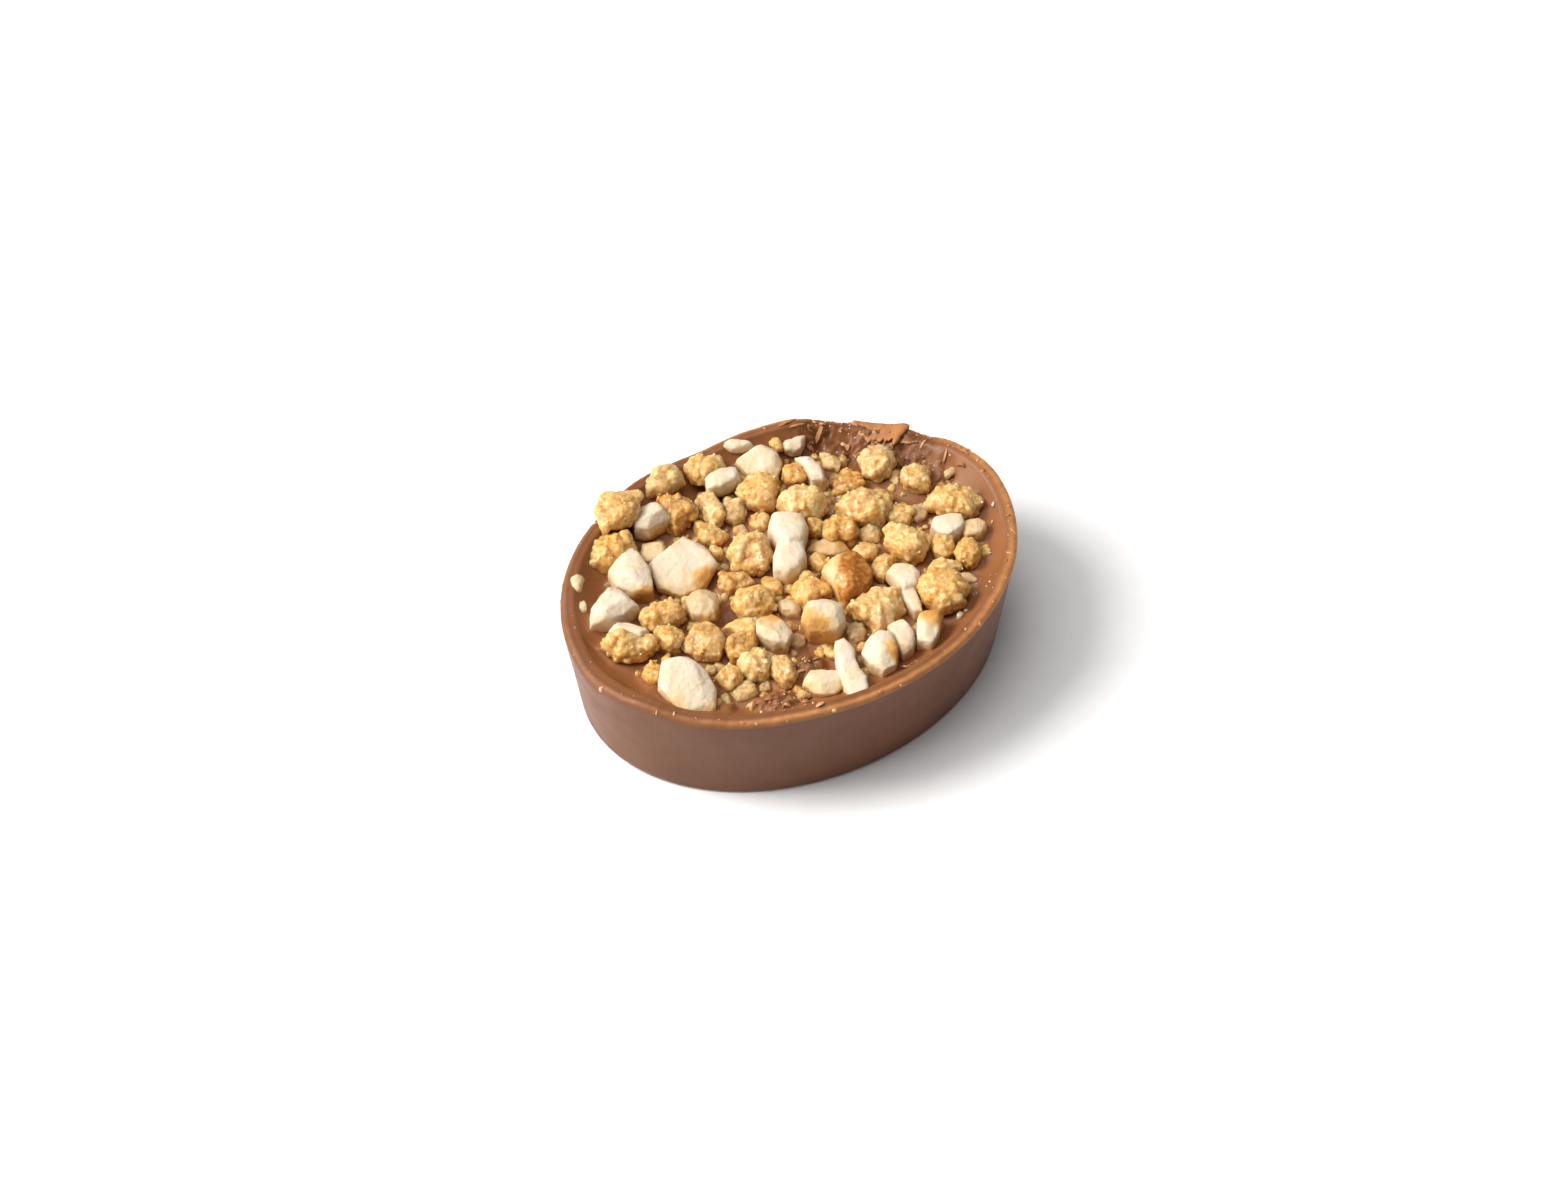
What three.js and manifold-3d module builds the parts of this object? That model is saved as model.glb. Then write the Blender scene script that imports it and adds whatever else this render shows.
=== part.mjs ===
// Oval praline: a moulded milk chocolate body whose shallow top is filled with candied crumbs
// and nut pieces. Millimetres, +Z up, origin at the middle of the base, +X along the oval.

import * as THREE from 'three';
import { mergeVertices } from 'three/addons/utils/BufferGeometryUtils.js';
import Module from 'manifold-3d';

// Driving dimensions of the chocolate body
const length = 38;
const width = 28.6;
const rimHeight = 10.4;
const wallLean = 0.94;       // how far the wall draws in at the base
const baseRound = 0.4;       // radius of the bottom edge
const crestWidth = 0.9;      // rounded top of the rim
const slopeWidth = 2.3;      // from the crest down to the floor of the hollow
const hollowDepth = 1.8;     // floor of the hollow below the rim
const ringPoints = 72;

// How the crumbs lie. Their outlines are given as eight reaches, 45 degrees apart and
// counter-clockwise, as they look from a height above the table; the first one runs along outlineStart.
const floorHeight = rimHeight - hollowDepth;
const sink = 0.35;           // how deep a crumb is set into the floor
const outlineStart = -29.5;  // degrees from +X
const outlineView = 52;      // degrees above the table
const smallCrumb = 0.8;      // crumbs that reach less far than this on average are plainer
const crumbBluntness = 2.6;  // 2 is a ball, higher is blockier
const crumbSpread = 1.17;    // candied crumbs press against each other, so they reach past what shows
const nutSpread = 1.06;      // nut pieces do so too, but less
const crumbLevels = [-50, 0, 45];
const smallLevels = [-20, 40];

// Uneven rim: place round the oval in degrees, rise in mm, half width in degrees
const rimSwells = [
  [3, 0.35, 10], [29.5, -0.7, 6.5], [44, -0.8, 8], [55, -0.55, 5.5], [68, 0.22, 6], [91, -0.45, 8],
  [112, 0.5, 8], [134, 0.5, 14], [152, 0.35, 10], [186, -0.4, 7], [208, 0.3, 8], [252, 0.25, 14],
  [296, -0.25, 18], [332, -0.4, 10],
];

// Candied crumbs: x, y, height, lift above the floor, outline
const candied = [
  [-9.4, 10.7, 2.2, 2.0, [1.6, 2.05, 1.45, 1.95, 1.97, 2.05, 1.25, 1.15]],
  [-11.4, 8.5, 2.8, 0.2, [1.95, 1.9, 1.05, 1.8, 2.3, 2.0, 1.55, 1.2]],
  [-4.6, 12.5, 2.5, 0.8, [1.75, 1.4, 1.37, 1.05, 1.55, 1.75, 1.1, 1.1]],
  [-0.9, 12.3, 2.1, 0.6, [1.7, 1.6, 0.92, 1.5, 1.7, 1.55, 1.25, 0.95]],
  [-5.1, 9.4, 2.8, 0.1, [1.75, 1.5, 1.4, 1.95, 1.5, 1.15, 1.45, 1.15]],
  [-2.5, 8.4, 2.3, 0.2, [1.1, 1.02, 1.75, 1.6, 0.55, 0.55, 1.17, 1.25]],
  [-0.8, 7.6, 2.1, 0, [1.0, 1.0, 1.1, 1.25, 0.8, 0.93, 1.0, 0.87]],
  [1.7, 8.0, 2.8, 0, [1.3, 2.0, 1.7, 1.6, 1.77, 1.4, 1.25, 1.6]],
  [5.1, 8.4, 2.1, 0.3, [1.1, 0.95, 1.15, 1.1, 0.92, 0.9, 0.8, 0.9]],
  [4.0, 5.3, 3.2, 0.1, [2.05, 1.95, 1.4, 1.6, 2.0, 1.35, 1.2, 1.95]],
  [-3.7, 6.6, 2.1, 0, [1.5, 0.85, 0.88, 1.65, 0.87, 0.78, 0.95, 1.25]],
  [0.4, 5.9, 1.4, 0, [0.8, 0.95, 0.87, 0.95, 0.75, 0.6, 0.55, 0.7]],
  [8.4, 8.4, 1.4, 0.2, [0.87, 0.85, 0.8, 1.1, 0.6, 0.45, 0.5, 1.1]],
  [8.5, 6.0, 1.4, 0, [1.5, 1.4, 1.05, 1.0, 1.15, 1.05, 0.7, 1.1]],
  [11.5, 6.4, 2.5, 0.1, [1.57, 1.5, 1.2, 1.3, 1.35, 1.4, 1.4, 1.45]],
  [12.3, 4.8, 0.9, 0.1, [0.35, 0.75, 0.65, 0.6, 0.4, 0.4, 0.7, 0.6]],
  [13.4, 3.4, 2.3, 0.1, [1.1, 1.6, 1.0, 1.3, 1.17, 1.05, 1.05, 1.4]],
  [-14.8, -0.5, 2.6, 0.4, [2.35, 1.1, 0.95, 1.9, 1.95, 1.27, 1.1, 1.4]],
  [-11.2, 1.0, 2.6, 0.2, [2.0, 1.95, 1.15, 0.95, 1.57, 1.57, 1.0, 1.2]],
  [-11.7, -1.4, 2.6, 0, [1.25, 1.35, 1.4, 1.65, 0.95, 0.8, 0.85, 0.87]],
  [-12.7, -3.2, 1.3, 0.3, [0.35, 0.45, 1.1, 0.65, 0.38, 0.38, 0.38, 0.35]],
  [-9.3, -3.1, 2.5, 0, [1.47, 1.6, 1.9, 1.65, 1.6, 1.15, 1.1, 1.47]],
  [-14.2, -3.5, 1.7, 0.2, [0.87, 0.9, 1.15, 1.0, 0.82, 0.7, 0.72, 0.8]],
  [-7.0, -4.7, 2.4, 0.1, [1.15, 1.45, 1.35, 1.33, 1.35, 1.28, 1.07, 0.95]],
  [-2.0, 3.0, 3.0, 0.1, [1.73, 1.85, 1.6, 1.5, 1.7, 1.72, 1.4, 1.75]],
  [5.3, 1.7, 2.4, 0, [1.77, 1.5, 1.2, 1.45, 1.43, 1.2, 0.9, 1.2]],
  [-4.2, -1.6, 2.6, 0.1, [1.82, 1.63, 1.53, 1.63, 1.77, 1.3, 1.0, 1.17]],
  [-4.5, 1.3, 2.0, 0, [1.75, 1.35, 0.95, 1.55, 1.1, 0.75, 0.8, 0.9]],
  [-1.9, -0.4, 1.7, 0, [0.8, 0.85, 0.95, 1.2, 0.67, 0.57, 0.6, 1.0]],
  [-5.5, -2.9, 1.6, 0, [1.4, 1.35, 0.8, 1.15, 2.0, 0.85, 0.65, 0.75]],
  [0.1, -2.5, 2.6, 0, [1.9, 1.3, 1.57, 1.3, 1.25, 1.3, 1.15, 1.15]],
  [8.4, 2.6, 2.9, 0.1, [2.05, 2.0, 1.25, 1.6, 2.5, 1.6, 1.45, 1.85]],
  [10.4, 0.9, 1.9, 0.2, [1.12, 1.07, 0.78, 1.35, 1.17, 1.0, 0.85, 1.05]],
  [7.5, 0.4, 1.5, 0, [0.9, 1.05, 0.9, 0.95, 0.95, 0.75, 0.6, 0.75]],
  [6.3, -1.0, 1.8, 0, [0.87, 0.98, 0.93, 1.0, 1.02, 0.75, 0.75, 0.87]],
  [9.2, -2.2, 3.0, 0.1, [1.8, 1.35, 1.4, 2.05, 1.6, 1.15, 1.4, 1.8]],
  [6.5, -3.3, 2.0, 0.1, [0.6, 1.3, 1.3, 1.0, 0.93, 0.9, 0.93, 0.65]],
  [14.7, -0.6, 2.8, 0.2, [2.15, 1.62, 1.45, 2.0, 2.2, 1.25, 1.0, 1.8]],
  [11.8, -3.7, 2.3, 0.1, [0.75, 1.2, 1.2, 1.1, 0.95, 0.95, 1.15, 1.0]],
  [13.0, -5.5, 2.2, 0.2, [0.95, 1.3, 1.4, 1.25, 1.05, 1.0, 0.8, 0.85]],
  [14.6, -5.6, 1.0, 0.3, [0.5, 0.55, 0.5, 0.7, 0.55, 0.5, 0.55, 0.5]],
  [-9.2, -6.7, 2.0, 0, [0.9, 1.0, 1.27, 1.05, 1.15, 0.85, 0.9, 0.85]],
  [-7.0, -6.5, 2.5, 0, [1.37, 1.38, 1.25, 0.97, 1.25, 1.27, 1.0, 1.42]],
  [-10.4, -8.1, 1.1, 0.1, [0.55, 0.5, 0.7, 0.63, 0.5, 0.5, 0.73, 0.82]],
  [-8.4, -8.2, 1.2, 0, [0.7, 0.7, 0.75, 0.85, 1.4, 1.15, 0.75, 0.75]],
  [-5.2, -8.2, 2.2, 0, [0.9, 1.0, 1.25, 1.37, 1.0, 1.0, 1.1, 1.1]],
  [-1.0, -8.0, 1.2, 0, [0.55, 0.45, 0.5, 0.95, 0.42, 0.4, 0.5, 1.2]],
  [4.2, -6.7, 2.8, 0, [2.0, 2.2, 1.7, 1.3, 2.6, 1.45, 1.65, 1.4]],
  [9.3, -7.6, 3.3, 0.1, [2.1, 1.7, 1.4, 1.6, 1.92, 1.75, 1.9, 2.0]],
  [5.3, 11.8, 1.2, 1.0, [0.43, 0.5, 0.45, 0.55, 0.6, 0.42, 0.65, 0.7]],
  [10.7, -5.4, 1.9, 0.1, [1.4, 0.8, 0.7, 0.9, 1.1, 0.85, 0.75, 1.2]],
  [2.4, -0.2, 2.2, 0.1, [1.0, 0.75, 0.8, 0.75, 0.8, 0.7, 0.85, 1.2]],
  [3.9, 2.9, 2.2, 0.2, [0.7, 0.75, 0.85, 0.7, 0.65, 0.65, 0.85, 0.75]],
  [-4.1, 4.7, 1.9, 0.2, [0.6, 0.5, 0.6, 0.65, 0.6, 0.5, 0.6, 0.75]],
];

// Nut pieces: x, y, height, tilt in degrees, lift above the floor, bluntness, outline
const nuts = [
  [-7.4, 9.6, 2.7, 0, 0.1, 3, [1.7, 1.45, 1.2, 1.1, 1.3, 1.6, 1.3, 1.0]],
  [-11.1, 5.7, 2.8, 0, 0.2, 4, [1.4, 1.15, 2.07, 1.68, 1.8, 1.7, 1.8, 2.4]],
  [-8.3, 7.0, 1.8, 0, 0, 3, [1.1, 1.0, 1.02, 1.33, 1.3, 1.1, 0.8, 0.9]],
  [-7.2, 4.6, 1.6, 16, 0.7, 7, [2.65, 2.25, 2.25, 1.6, 2.65, 2.6, 2.4, 2.4]],
  [2.5, 12.95, 1.1, 0, 1.3, 3, [1.22, 0.6, 0.53, 0.8, 1.2, 0.65, 0.52, 0.6]],
  [-0.4, 10.5, 1.8, 0, 0.8, 4, [1.55, 1.6, 0.8, 0.75, 1.3, 1.6, 1.0, 0.95]],
  [3.4, 10.8, 1.8, 12, 0.4, 6, [1.75, 1.5, 1.5, 1.22, 2.0, 1.45, 1.1, 1.75]],
  [6.4, 7.9, 2.2, 0, 0.3, 3, [0.85, 0.62, 1.04, 1.9, 0.55, 0.55, 1.15, 1.7]],
  [6.55, 11.1, 1.5, 0, 0.7, 3, [0.85, 1.4, 0.5, 0.6, 0.95, 0.9, 0.8, 0.85]],
  [-14.3, 3.2, 2.9, 0, 0.3, 3, [2.1, 1.45, 1.88, 1.28, 1.53, 2.2, 1.3, 1.3]],
  [-14.2, 0.3, 2.5, 0, 0.6, 3, [1.6, 0.75, 0.82, 1.2, 1.6, 0.7, 0.6, 1.2]],
  [-7.9, 0.1, 2.4, 0, 0, 3.5, [1.35, 1.6, 1.6, 1.5, 1.2, 1.1, 0.95, 1.45]],
  [1.6, 3.2, 3.0, 0, 0.2, 2.6, [1.55, 1.6, 1.42, 1.7, 1.55, 1.5, 1.75, 1.7]],
  [0.1, 0.7, 2.6, 0, 0.3, 2.6, [1.5, 1.8, 1.75, 1.3, 1.1, 1.45, 1.42, 1.35]],
  [3.8, 0.8, 1.6, 0, 0, 4, [1.75, 1.35, 0.85, 1.0, 1.6, 0.95, 0.75, 1.1]],
  [3.4, -2.8, 3.0, 0, 0.2, 3, [2.05, 1.87, 1.66, 1.6, 1.9, 1.45, 2.2, 2.0]],
  [-4.3, -4.9, 2.4, 0, 0.1, 4, [1.45, 1.25, 1.65, 1.75, 1.25, 0.88, 1.0, 1.45]],
  [12.9, -2.4, 2.2, 0, 0.2, 7, [1.4, 1.55, 1.1, 1.25, 1.35, 1.05, 1.0, 1.15]],
  [14.6, -3.6, 1.8, 0, 0.3, 5, [1.1, 1.2, 1.0, 1.3, 1.05, 0.85, 0.6, 0.95]],
  [-12.7, -6.4, 1.5, 22, 1.0, 7, [2.1, 1.9, 2.5, 2.85, 2.25, 1.85, 2.2, 2.85]],
  [-0.4, -6.0, 3.0, 0, 0.1, 4, [1.65, 1.95, 1.75, 1.9, 1.8, 1.65, 1.2, 1.45]],
  [-1.1, -11.6, 1.8, 0, 0.4, 4, [1.1, 0.8, 2.0, 1.85, 0.95, 1.0, 2.1, 1.8]],
  [-0.5, -9.2, 1.5, 0, 0.8, 4, [0.85, 0.75, 1.05, 0.95, 0.75, 0.8, 1.3, 1.2]],
  [-3.1, -10.9, 1.6, 14, 0.3, 4, [1.58, 1.53, 1.18, 1.68, 1.76, 1.12, 0.95, 1.1]],
  [2.0, -10.9, 2.6, 0, 0.2, 3, [1.2, 1.6, 1.95, 1.5, 1.6, 1.32, 1.5, 1.36]],
  [4.1, -10.4, 2.3, 0, 0.2, 3, [0.96, 1.1, 1.8, 1.65, 0.65, 0.65, 1.26, 1.1]],
  [6.5, -10.7, 2.2, 0, 0.5, 3, [0.7, 1.42, 1.55, 1.42, 1.1, 1.55, 1.4, 0.8]],
  [7.3, -5.1, 1.9, 0, 0.8, 2.6, [1.3, 1.0, 0.85, 1.08, 1.33, 1.0, 1.4, 1.45]],
  [6.7, -7.7, 1.8, 0, 0.3, 3, [0.6, 0.6, 1.8, 1.9, 0.6, 0.55, 0.8, 1.0]],
];

// Small bits and, in the last three rows, chocolate lumps, in the same columns as the nut pieces
const bits = [
  [-15.7, 6.3, 0.9, 0, 2.0, 3, [0.45, 0.82, 0.9, 0.68, 0.35, 0.33, 0.52, 0.55]],
  [-1.8, -2.9, 1.5, 0, 0, 3, [0.9, 0.85, 0.85, 1.2, 0.9, 0.7, 0.6, 0.8]],
  [-2.7, -5.9, 1.3, 0, 0, 3, [0.7, 0.65, 0.7, 0.7, 0.75, 0.7, 0.7, 0.65]],
  [1.7, -7.5, 1.5, 0, 0, 3, [0.72, 0.75, 0.95, 0.9, 0.8, 0.8, 0.8, 0.7]],
  [12.0, 0.6, 1.4, 0, 0, 3, [0.9, 0.8, 0.65, 0.75, 0.5, 0.65, 0.9, 0.75]],
  [12.2, -7.4, 1.0, 0, 0.3, 3, [0.6, 0.45, 0.5, 1.1, 0.85, 0.5, 0.42, 0.5]],
  [-1.3, 6.1, 1.0, 0, 0, 3, [0.87, 0.7, 0.63, 0.63, 0.53, 0.53, 0.55, 0.65]],
  [-3.2, -8.6, 1.5, 0, 0, 2, [1.2, 1.2, 1.0, 1.0, 1.2, 1.2, 1.0, 1.0]],
  [-7.0, -10.4, 1.4, 0, 0.2, 2, [1.5, 1.2, 1.05, 1.2, 1.5, 1.2, 1.05, 1.2]],
  [-5.9, -12.0, 1.0, 0, 0.7, 2, [0.75, 1.0, 0.75, 0.6, 0.75, 1.0, 0.75, 0.6]],
];

// Pieces are joined as solids
const wasm = await Module();
wasm.setup();
const weld = 1e-4;

function toSolid(geometry) {
  const bare = geometry.clone();
  bare.deleteAttribute('normal');
  bare.deleteAttribute('uv');
  const merged = mergeVertices(bare, weld);
  const mesh = new wasm.Mesh({
    numProp: 3,
    vertProperties: new Float32Array(merged.attributes.position.array),
    triVerts: new Uint32Array(merged.index.array),
  });
  return new wasm.Manifold(mesh);
}

// Rim swell at a place round the oval
function rimSwell(degrees) {
  return rimSwells.reduce((sum, [place, rise, spread]) => {
    const away = Math.abs(((degrees - place + 540) % 360) - 180) / spread;
    return sum + rise * Math.exp(-away * away);
  }, 0);
}

// Rings of the body from the base up the wall, over the crest and down to the floor of the hollow.
// Each has its distance inside the rim's outline, its height and its share of the rim's swell.
function bodyRings() {
  const rings = [];
  const roundSteps = 3;
  for (let i = 0; i <= roundSteps; i += 1) {
    const angle = (i / roundSteps) * Math.PI / 2;
    const inset = wallLean + baseRound * (1 - Math.sin(angle));
    rings.push({ inset, height: baseRound * (1 - Math.cos(angle)), swell: 0 });
  }
  const crestSteps = 4;
  for (let i = 0; i <= crestSteps; i += 1) {
    const angle = (i / crestSteps) * Math.PI / 2;
    const drop = (crestWidth / 2) * (1 - Math.sin(angle));
    rings.push({ inset: (crestWidth / 2) * (1 - Math.cos(angle)), height: rimHeight - drop, swell: 1 });
  }
  const slopeSteps = 5;
  for (let i = 0; i <= slopeSteps; i += 1) {
    const run = i / slopeSteps;
    const height = rimHeight - hollowDepth * run * (2 - run);
    rings.push({ inset: crestWidth + slopeWidth * run, height, swell: (1 - run) ** 2 });
  }
  return rings;
}

// Closed solid through rings of equally many points, each end closed by a point in its middle
function loft(rings, bottom, top) {
  const corners = [bottom, ...rings.flat(), top];
  const count = rings[0].length;
  const faces = [];
  for (let i = 0; i < count; i += 1) {
    const next = (i + 1) % count;
    faces.push(0, 1 + next, 1 + i);
    for (let ring = 0; ring < rings.length - 1; ring += 1) {
      const low = 1 + ring * count;
      const high = low + count;
      faces.push(low + i, low + next, high + next, low + i, high + next, high + i);
    }
    const last = 1 + (rings.length - 1) * count;
    faces.push(last + i, last + next, corners.length - 1);
  }
  const geometry = new THREE.BufferGeometry().setFromPoints(corners);
  geometry.setIndex(faces);
  return geometry;
}

function chocolateBody() {
  const stretch = length / width;
  const rings = bodyRings().map(({ inset, height, swell }) => {
    const across = width / 2 - inset;
    const oval = new THREE.EllipseCurve(0, 0, across * stretch, across);
    return oval.getPoints(ringPoints).slice(0, ringPoints).map((point, i) => {
      const lift = swell * rimSwell((i / ringPoints) * 360);
      return new THREE.Vector3(point.x, point.y, height + lift);
    });
  });
  return loft(rings, new THREE.Vector3(0, 0, 0), new THREE.Vector3(0, 0, floorHeight));
}

// Place of a crumb: its middle, turned to its outline's start and tilted as it lies
function placing(x, y, height, tilt, lift) {
  const { degToRad } = THREE.MathUtils;
  const turned = new THREE.Matrix4().makeRotationZ(degToRad(outlineStart));
  const tilted = new THREE.Matrix4().makeRotationX(degToRad(tilt));
  const middle = floorHeight - sink + lift + height / 2;
  return new THREE.Matrix4().makeTranslation(x, y, middle).multiply(turned).multiply(tilted);
}

// How much deeper than it looks a crumb is, seen from above the table
function viewStretch(outline, height, tilt) {
  const view = THREE.MathUtils.degToRad(outlineView + tilt);
  const reach = (outline[2] + outline[6]) / 2;
  const shown = (Math.cos(view) * height) / 2 / reach;
  return Math.sqrt(Math.max(0.5, 1 - shown * shown)) / Math.sin(view);
}

// A crumb is its outline, drawn in towards its top and bottom
function crumb(x, y, height, tilt, lift, bluntness, outline) {
  const mean = outline.reduce((sum, reach) => sum + reach, 0) / outline.length;
  const stretch = viewStretch(outline, height, tilt);
  const rings = (mean > smallCrumb ? crumbLevels : smallLevels).map((level) => {
    const angle = THREE.MathUtils.degToRad(level);
    const across = Math.cos(angle) ** (2 / bluntness);
    const up = Math.sign(angle) * Math.abs(Math.sin(angle)) ** (2 / bluntness);
    return outline.map((reach, i) => {
      const way = (2 * Math.PI * i) / outline.length;
      const side = reach * across * Math.cos(way);
      const depth = reach * across * Math.sin(way) * stretch;
      return new THREE.Vector3(side, depth, (up * height) / 2);
    });
  });
  const bottom = new THREE.Vector3(0, 0, -height / 2);
  const top = new THREE.Vector3(0, 0, height / 2);
  return toSolid(loft(rings, bottom, top).applyMatrix4(placing(x, y, height, tilt, lift)));
}

// Everything set in the chocolate is one solid with it
const pieces = [
  ...[...nuts, ...bits].map(([x, y, height, tilt, lift, bluntness, outline]) => {
    const reaches = outline.map((reach) => reach * nutSpread);
    return crumb(x, y, height, tilt, lift, bluntness, reaches);
  }),
  ...candied.map(([x, y, height, lift, outline]) => {
    const reaches = outline.map((reach) => reach * crumbSpread);
    return crumb(x, y, height, 0, lift, crumbBluntness, reaches);
  }),
];
const mesh = pieces.reduce((sum, piece) => sum.add(piece), toSolid(chocolateBody())).getMesh();
const geometry = new THREE.BufferGeometry();
geometry.setAttribute('position', new THREE.BufferAttribute(mesh.vertProperties, 3));
geometry.setIndex(new THREE.BufferAttribute(mesh.triVerts, 1));

const chocolate = new THREE.MeshStandardMaterial({ color: '#8a5a40', roughness: 0.45, metalness: 0 });
const praline = new THREE.Mesh(geometry, chocolate);
praline.name = 'praline';

const group = new THREE.Group();
group.add(praline);

export default group;
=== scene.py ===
import bmesh
import bpy
import math
import numpy as np
from mathutils import Matrix, Vector, noise
from mathutils.bvhtree import BVHTree


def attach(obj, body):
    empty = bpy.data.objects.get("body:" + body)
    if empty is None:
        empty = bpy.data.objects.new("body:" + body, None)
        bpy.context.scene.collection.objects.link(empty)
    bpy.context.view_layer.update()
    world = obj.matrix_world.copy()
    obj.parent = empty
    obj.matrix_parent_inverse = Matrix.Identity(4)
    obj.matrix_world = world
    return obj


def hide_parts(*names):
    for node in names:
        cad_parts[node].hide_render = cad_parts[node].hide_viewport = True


# Everything is modelled in millimetres and scaled to metres when a piece is finished.
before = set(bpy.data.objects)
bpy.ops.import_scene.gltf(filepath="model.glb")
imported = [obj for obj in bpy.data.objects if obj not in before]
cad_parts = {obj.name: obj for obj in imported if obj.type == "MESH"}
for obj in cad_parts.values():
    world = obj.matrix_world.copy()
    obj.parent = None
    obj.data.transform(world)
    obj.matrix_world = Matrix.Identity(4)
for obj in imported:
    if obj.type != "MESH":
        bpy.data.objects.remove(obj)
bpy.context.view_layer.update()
scene = bpy.context.scene
millimetre = 0.001
goldenAngle = math.pi * (3 - math.sqrt(5))
wellAbove = 30.0
# vector noise would start from the clock
noise.seed_set(5)


# Shared tools

def chance(piece, step):
    # the same number from 0 to 1 for the same piece and step
    value = math.sin(piece * 12.9898 + step * 78.233) * 43758.5453
    return value - math.floor(value)


def pick(limits, share):
    low, high = limits
    return low + (high - low) * share


def ease(value, start, end):
    share = np.clip((value - start) / (end - start), 0, 1)
    return share * share * (3 - 2 * share)


def noiseField(points, scale, seed=0.0):
    # smooth noise from -1 to 1
    return np.array([noise.noise(p) for p in (points * scale + seed).tolist()])


def grainField(points, scale, seed=0.0):
    # 0 in the middle of a grain, up to about 0.8 between grains
    return np.array([noise.voronoi(p)[0][0] for p in (points * scale + seed).tolist()])


def ridgeField(points, scale, seed=0.0):
    # torn, ridged noise from 0 to 1
    return 1 - np.abs(noiseField(points, scale, seed))


def readPoints(mesh):
    points = np.empty(len(mesh.vertices) * 3)
    mesh.vertices.foreach_get("co", points)
    return points.reshape(-1, 3)


def readNormals(mesh):
    normals = np.empty(len(mesh.vertices) * 3)
    mesh.vertex_normals.foreach_get("vector", normals)
    return normals.reshape(-1, 3)


def writePoints(mesh, points):
    mesh.vertices.foreach_set("co", points.astype(np.float32).ravel())
    mesh.update()


def writeShade(mesh, name, values):
    layer = mesh.attributes.new(name, "FLOAT", "POINT")
    layer.data.foreach_set("value", np.asarray(values, np.float32))


def neighbourMean(mesh, values):
    ends = np.empty(len(mesh.edges) * 2, np.int64)
    mesh.edges.foreach_get("vertices", ends)
    first, second = ends[0::2], ends[1::2]
    count = np.bincount(ends, minlength=len(mesh.vertices)).astype(float)
    count[count == 0] = 1
    total = np.zeros_like(values, float)
    np.add.at(total, first, values[second])
    np.add.at(total, second, values[first])
    return total / (count[:, None] if values.ndim == 2 else count)


def hollowness(mesh, rounds):
    # above 0 in hollows and below 0 on ridges, in mm
    points = readPoints(mesh)
    smooth = points
    for _ in range(rounds):
        smooth = neighbourMean(mesh, smooth)
    return ((smooth - points) * readNormals(mesh)).sum(1)


def bmeshToMesh(bm, name):
    mesh = bpy.data.meshes.new(name)
    bm.to_mesh(mesh)
    bm.free()
    return mesh


def shown(mesh, kind, **settings):
    # the mesh after one modifier
    holder = bpy.data.objects.new("raw", mesh)
    scene.collection.objects.link(holder)
    modifier = holder.modifiers.new("change", kind)
    for name, value in settings.items():
        setattr(modifier, name, value)
    evaluated = holder.evaluated_get(bpy.context.evaluated_depsgraph_get())
    result = bpy.data.meshes.new_from_object(evaluated)
    bpy.data.objects.remove(holder)
    bpy.data.meshes.remove(mesh)
    return result


def fused(bm, voxel):
    # everything in the bmesh as one skin of even faces
    return shown(bmeshToMesh(bm, "raw"), "REMESH", mode="VOXEL", voxel_size=voxel)


def thinned(mesh, keep):
    return shown(mesh, "DECIMATE", ratio=keep)


def finishPiece(name, mesh, material):
    mesh.transform(Matrix.Scale(millimetre, 4))
    mesh.name = name
    mesh.materials.clear()
    mesh.materials.append(material)
    mesh.polygons.foreach_set("use_smooth", [True] * len(mesh.polygons))
    mesh.update()
    piece = bpy.data.objects.new(name, mesh)
    scene.collection.objects.link(piece)
    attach(piece, "root")
    triangles = sum(len(p.vertices) - 2 for p in mesh.polygons)
    print(f"{name}: {triangles} triangles")
    return piece


# Crumbs and nut pieces, at the same places and sizes as in the solid

bodySizes = {
    "length": 38.0, "width": 28.6, "rimHeight": 10.4, "wallLean": 0.94, "baseRound": 0.4,
    "crestWidth": 0.9, "slopeWidth": 2.3, "hollowDepth": 1.8,
}
floorHeight = bodySizes["rimHeight"] - bodySizes["hollowDepth"]
lie = {
    "sink": 0.35, "outlineStart": -29.5, "outlineView": 52.0, "crumbSpread": 1.2, "nutSpread": 1.06,
    "crumbBluntness": 2.6, "flattest": 0.5,
}

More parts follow.
